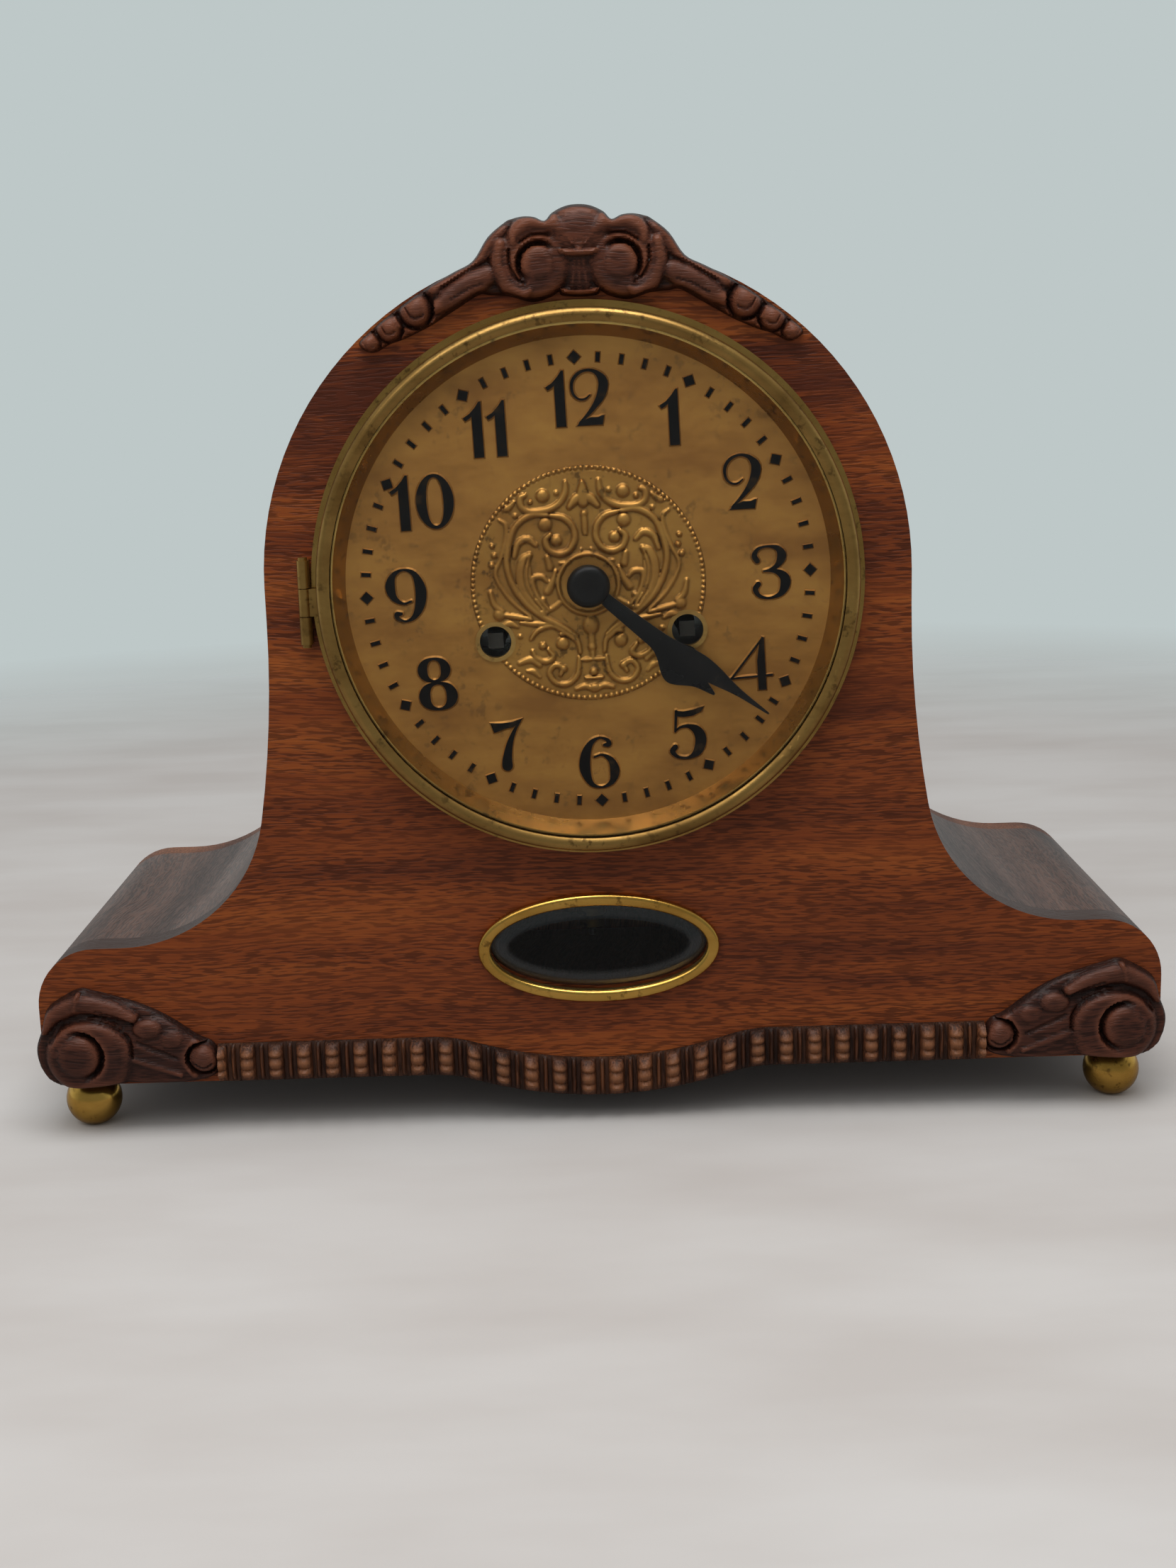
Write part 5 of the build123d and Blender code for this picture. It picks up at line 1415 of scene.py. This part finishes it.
class Glyph(Enum):
    """Digits of height 1 as filled shapes and as strokes of (x, y, half width)."""

    ZERO = ((), (tuple((0.25 * math.sin(t), 0.5 + 0.47 * math.cos(t), 0.03 + 0.065 * math.sin(t) ** 2)
                       for t in (math.pi * i / 8 for i in range(17))),))
    ONE = ((((-.09, 0), (.09, 0), (.09, 1), (.05, 1), (-.02, .9), (-.13, .79), (-.25, .72), (-.21, .66),
             (-.14, .70), (-.09, .74)),), ())
    TWO = ((((-.26, 0), (.21, 0), (.25, .17), (.21, .17), (.14, .14), (0, .145), (-.12, .10), (-.2, .06)),),
           (((.01, .54, .012), (-.09, .47, .02), (-.21, .486, .02), (-.30, .597, .025), (-.30, .78, .03),
             (-.2, .917, .03), (-.03, .98, .025), (.147, .93, .04), (.26, .764, .085), (.217, .54, .08),
             (.09, .347, .05), (-.075, .167, .03), (-.2, .055, .02)),))
    THREE = ((), (((-.244, .72, .05), (-.294, .82, .05), (-.215, .94, .03), (-.04, .975, .022),
                   (.138, .93, .05), (.21, .79, .085), (.12, .62, .05), (-.02, .545, .025),
                   (-.126, .525, .02)),
                  ((-.08, .53, .02), (.094, .51, .045), (.24, .40, .085), (.25, .25, .09), (.153, .09, .05),
                   (-.05, .025, .022), (-.23, .075, .035), (-.30, .2, .05), (-.244, .29, .05))))
    FOUR = ((((.22, 1), (.265, .985), (.275, 0), (.125, 0), (.12, .55), (.17, .86)),),
            (((.235, .97, .02), (-.37, .245, .02)), ((-.385, .245, .02), (.385, .275, .02))))
    FIVE = ((((-.2, .94), (-.06, .92), (.12, .945), (.33, 1), (.27, .90), (.12, .83), (-.05, .81),
              (-.2, .83)),),
            (((-.2, .93, .028), (-.235, .55, .022)),
             ((-.235, .555, .015), (-.13, .625, .025), (.02, .635, .04), (.17, .55, .085), (.235, .38, .105),
              (.17, .16, .085), (0, .04, .03), (-.2, .06, .03), (-.305, .17, .05), (-.25, .255, .05))))
    SEVEN = ((((-.31, .93), (-.1, .915), (.1, .93), (.3, .99), (.26, .93), (.12, .83), (-.05, .80),
               (-.2, .75), (-.25, .74)),),
             (((.24, .93, .02), (.12, .74, .035), (.02, .5, .06), (-.04, .22, .09), (-.045, .1, .1)),))
    EIGHT = ((), (tuple((-.045 + .215 * math.sin(t), .768 + .21 * math.cos(t), .025 + .065 * math.sin(t) ** 2)
                        for t in (math.pi * i / 8 for i in range(17))),
                  tuple((.255 * math.sin(t), .275 + .245 * math.cos(t), .025 + .08 * math.sin(t) ** 2)
                        for t in (math.pi * i / 8 for i in range(17)))))
    NINE = ((), (((.087, .387, .02), (-.06, .355, .025), (-.22, .47, .06), (-.274, .68, .09),
                  (-.2, .887, .05), (-.01, .974, .022), (.184, .887, .05), (.28, .61, .10),
                  (.248, .32, .09), (.135, .11, .05), (-.026, .026, .022), (-.17, .08, .035),
                  (-.19, .16, .05), (-.11, .17, .03)),))
    SIX = ((), (tuple((-x, 1 - y, w) for x, y, w in NINE[1][0]),))

    def patches(self) -> list[np.ndarray]:
        """The digit as overlapping patches whose union is its shape.

        Returns:
            The corners of each patch.
        """
        shapes, strokes = self.value
        patches = [np.array(shape) for shape in shapes]
        turns = np.linspace(0, 2 * math.pi, 14, endpoint=False)
        disc = np.column_stack([np.cos(turns), np.sin(turns)])
        for stroke in strokes:
            line = flowing(stroke, 4)
            for first, second in zip(line[:-1], line[1:]):
                run = second[:2] - first[:2]
                side = np.array((-run[1], run[0])) / max(np.hypot(*run), 1e-9)
                patches.append(np.array([
                    first[:2] - side * first[2], second[:2] - side * second[2],
                    second[:2] + side * second[2], first[:2] + side * first[2],
                ]))
            patches += [disc * w + (x, y) for x, y, w in line]
        return patches


def joined(patches: Sequence[np.ndarray]) -> Sheet:
    """Joins overlapping patches into one flat shape.

    Args:
        patches: Corners of each patch in order.

    Returns:
        The shape as triangles.
    """
    corners, faces = [], []
    for patch in patches:
        x, y = patch.T
        turned = patch if (x * np.roll(y, -1) - np.roll(x, -1) * y).sum() > 0 else patch[::-1]
        faces.append(list(range(len(corners), len(corners) + len(patch))))
        corners += [Vector(p) for p in turned]
    found, _, cells, _, _, owners = delaunay_2d_cdt(corners, [], faces, 0, 1e-4)
    kept = np.array([cell for cell, owner in zip(cells, owners) if owner])
    return Sheet(np.array([tuple(p) for p in found]), kept, outer_edges(kept))


@dataclass
class Raised:
    """Collects raised marks with a dark top and bright sloped sides, as stamped in the dial."""

    top: float
    slope: float
    sunk: float = 0.03

    def __post_init__(self) -> None:
        """Starts with no marks."""
        self.corners: list[np.ndarray] = []
        self.faces: list[list[int]] = []
        self.sides: list[bool] = []
        self.count = 0

    def add(self, sheet: Sheet) -> None:
        """Adds one mark given as a flat shape on the dial.

        Args:
            sheet: The shape.
        """
        outward = np.zeros_like(sheet.points)
        for a, b in sheet.rim:
            run = sheet.points[b] - sheet.points[a]
            normal = np.array((run[1], -run[0])) / max(np.hypot(*run), 1e-9)
            outward[a] += normal
            outward[b] += normal
        size = np.maximum(np.hypot(*outward.T), 1e-9)[:, None]
        spread = sheet.points + self.slope * outward / size
        total = len(sheet.points)
        self.corners += [
            on_dial(sheet.points, np.full(total, PLATE_FACE + self.top)),
            on_dial(spread, np.full(total, PLATE_FACE - self.sunk)),
        ]
        faces = closed_faces(sheet, self.count)
        self.faces += faces
        self.sides += [number >= len(sheet.faces) for number in range(len(faces))]
        self.count += 2 * total

    def build(self, name: str) -> bpy.types.Object:
        """Makes the marks as one piece on the case.

        Args:
            name: Name of the piece.

        Returns:
            The object.
        """
        piece = make_piece(name, np.vstack(self.corners), self.faces, [Palette.ink, Palette.dial], sharp=25.0)
        piece.data.polygons.foreach_set("material_index", np.array(self.sides, np.int32))
        return piece


@dataclass
class DialMarks:
    """The stamped hour numerals and the minute track."""

    numeral_height: float = 17.5
    numeral_radius: float = 58.8
    track_radius: float = 71.4
    bar: Point = (1.3, 3.0)
    diamond: float = 2.1
    top: float = 0.6
    slope: float = 0.6

    def numerals(self) -> None:
        """Raises the twelve numerals."""
        single = (Glyph.TWO, Glyph.THREE, Glyph.FOUR, Glyph.FIVE, Glyph.SIX, Glyph.SEVEN,
                  Glyph.EIGHT, Glyph.NINE)
        words = {hour: ((glyph, 0.0),) for hour, glyph in enumerate(single, 2)}
        words |= {1: ((Glyph.ONE, 0.05),), 10: ((Glyph.ONE, -0.343), (Glyph.ZERO, 0.22)),
                  11: ((Glyph.ONE, -0.14), (Glyph.ONE, 0.28)), 12: ((Glyph.ONE, -0.30), (Glyph.TWO, 0.235))}
        raised = Raised(self.top, self.slope)
        for hour, word in words.items():
            turn = math.radians(30 * hour)
            place = np.array((math.sin(turn), math.cos(turn))) * self.numeral_radius
            for glyph, shift in word:
                sheet = joined(glyph.patches())
                sheet.points = (sheet.points + (shift, -0.5)) * self.numeral_height + place
                raised.add(sheet)
        raised.build("hour_numerals")

    def track(self) -> None:
        """Raises the sixty marks of the minute track."""
        wide, tall = self.bar[0] / 2, self.bar[1] / 2
        long_bar = np.array([(-wide, -tall), (wide, -tall), (wide, tall), (-wide, tall)])
        square = np.array([(0, -self.diamond), (self.diamond, 0), (0, self.diamond), (-self.diamond, 0)])
        raised = Raised(self.top * 0.9, self.slope * 0.8)
        for minute in range(60):
            turn = math.radians(6 * minute)
            c, s = math.cos(turn), math.sin(turn)
            shape = square if minute % 5 == 0 else long_bar
            points = np.column_stack([
                shape[:, 0] * c + (shape[:, 1] + self.track_radius) * s,
                (shape[:, 1] + self.track_radius) * c - shape[:, 0] * s,
            ])
            faces = np.array([(0, 1, 2), (0, 2, 3)])
            raised.add(Sheet(points, faces, outer_edges(faces)))
        raised.build("minute_track")


class CadFinishes:
    """Gives every solid of the clock its finish."""

    def dress(self) -> None:
        """Sets the material of each solid from its slot or its own name."""
        slots = {part["node"]: part["material_slot"] for part in frame["record"]["subparts"]}
        for name, solid in frame["nodes"].items():
            finish = NODE_FINISH.get(name) or SLOT_FINISH[slots[name]]
            if not solid.material_slots:
                solid.data.materials.append(finish.material())
            for slot in solid.material_slots:
                slot.material = finish.material()
            log.info("%s: %s", name, finish.name)


@dataclass
class Studio:
    """Pale floor, soft light and the camera."""

    place: Point = (-0.002, -0.710, 0.2605)
    pitch: float = 12.52
    roll: float = 1.7
    lens: float = 45.88
    wall: Colour = srgb(190, 200, 200)
    cloth: Colour = srgb(197, 194, 191)
    daylight: float = 0.47
    dim_room: float = 0.4
    dim_cloth: float = 0.5
    shadow: Colour = (0.0, 0.0, 0.0, 1.0)
    stain: Colour = srgb(187, 182, 178)
    fade: Point = (0.62, 1.15)

    def floor(self) -> None:
        """Lays a pale cloth that fades into the backdrop."""
        half, cells = 1.3, 12
        line = np.linspace(-half, half, cells + 1)
        corners = [(x, y, 0.0) for y in line for x in line]
        row = cells + 1
        faces = [(j * row + i, j * row + i + 1, (j + 1) * row + i + 1, (j + 1) * row + i)
                 for j in range(cells) for i in range(cells)]
        mesh = bpy.data.meshes.new("floor")
        mesh.from_pydata(corners, [], faces)
        material = bpy.data.materials.new("pale_cloth")
        material.use_nodes = True
        web = Web(material.node_tree)
        shader = material.node_tree.nodes["Principled BSDF"]
        place = web.add("ShaderNodeTexCoord").outputs["Object"]
        cloud = web.noise(place, (6.0, 16.0, 10.0), 4.0)
        cloth = web.blend(web.span(cloud, 0.35, 0.65), self.cloth, self.stain)
        mirrored = web.add("ShaderNodeLightPath").outputs["Is Glossy Ray"]
        cloth = web.blend(web.work("MULTIPLY", mirrored, self.dim_cloth), cloth, self.shadow)
        web.feed(shader, "Base Color", cloth)
        web.feed(shader, "Roughness", 0.9)
        weave = web.add("ShaderNodeTexChecker", {"Vector": place, "Scale": 620.0}).outputs["Fac"]
        bump(web, shader, weave, 0.15, 0.0003)
        away = web.add("ShaderNodeVectorMath", {0: place}, operation="LENGTH").outputs["Value"]
        see_through(web, shader, web.span(away, *self.fade))
        mesh.materials.append(material)
        floor = bpy.data.objects.new("floor", mesh)
        bpy.context.collection.objects.link(floor)

    def world(self) -> None:
        """Shows the pale backdrop, which metal and glass mirror with a dimmer room in front."""
        world = bpy.data.worlds.new("pale_room")
        bpy.context.scene.world = world
        world.use_nodes = True
        web = Web(world.node_tree)
        back = world.node_tree.nodes["Background"]
        path = web.add("ShaderNodeLightPath")
        seen = web.work("MAXIMUM", path.outputs["Is Camera Ray"], path.outputs["Is Transmission Ray"])
        light = (self.daylight, self.daylight, self.daylight, 1.0)
        heading = web.add("ShaderNodeSeparateXYZ", {0: web.add("ShaderNodeTexCoord").outputs["Generated"]})
        share = web.span(heading.outputs["Y"], -0.6, 0.1, self.dim_room, 1.0)
        room = web.blend(share, self.shadow, self.wall)
        colour = web.blend(path.outputs["Is Glossy Ray"], light, room)
        web.feed(back, "Color", web.blend(seen, colour, self.wall))

    def lamp(self, name: str, place: Point, aim: Point, size: float, power: float) -> None:
        """Hangs one soft square lamp.

        Args:
            name: Name of the lamp.
            place: Where it hangs, in metres.
            aim: The point it faces.
            size: Length of its side.
            power: Its light in watts.
        """
        data = bpy.data.lights.new(name, "AREA")
        data.size = size
        data.energy = power
        lamp = bpy.data.objects.new(name, data)
        lamp.location = place
        lamp.rotation_euler = (Vector(aim) - Vector(place)).to_track_quat("-Z", "Y").to_euler()
        bpy.context.collection.objects.link(lamp)

    def camera(self) -> None:
        """Sets the camera where the photograph was taken."""
        data = bpy.data.cameras.new("camera")
        data.lens = self.lens
        data.clip_start = 0.01
        camera = bpy.data.objects.new("camera", data)
        tilt, turn = math.radians(self.pitch), math.radians(self.roll)
        right = Vector((1, 0, 0))
        up = Vector((0, math.sin(tilt), math.cos(tilt)))
        ahead = Vector((0, math.cos(tilt), -math.sin(tilt)))
        axes = Matrix((
            right * math.cos(turn) - up * math.sin(turn),
            up * math.cos(turn) + right * math.sin(turn),
            -ahead,
        )).transposed()
        camera.matrix_world = Matrix.Translation(self.place) @ axes.to_4x4()
        bpy.context.collection.objects.link(camera)
        bpy.context.scene.camera = camera

    def build(self) -> None:
        """Sets up floor, world, lamps and camera."""
        self.floor()
        self.world()
        self.lamp("overhead", (0.05, -0.35, 1.25), (0.0, 0.0, 0.12), 0.8, 9.0)
        self.lamp("front_fill", (-0.45, -0.95, 1.35), (0.0, -0.05, 0.14), 1.0, 7.0)
        self.camera()
        bpy.context.scene.view_settings.view_transform = "Standard"


def main() -> None:
    """Builds every piece, dresses the solids and sets the stage."""
    logging.basicConfig(level=logging.INFO, format="%(name)s %(message)s")
    CadFinishes().dress()
    CrestCarving().build()
    CornerCarving().build()
    FlutedBand().build()
    Rosette().build()
    marks = DialMarks()
    marks.numerals()
    marks.track()
    Studio().build()


if __name__ == "__main__":
    main()
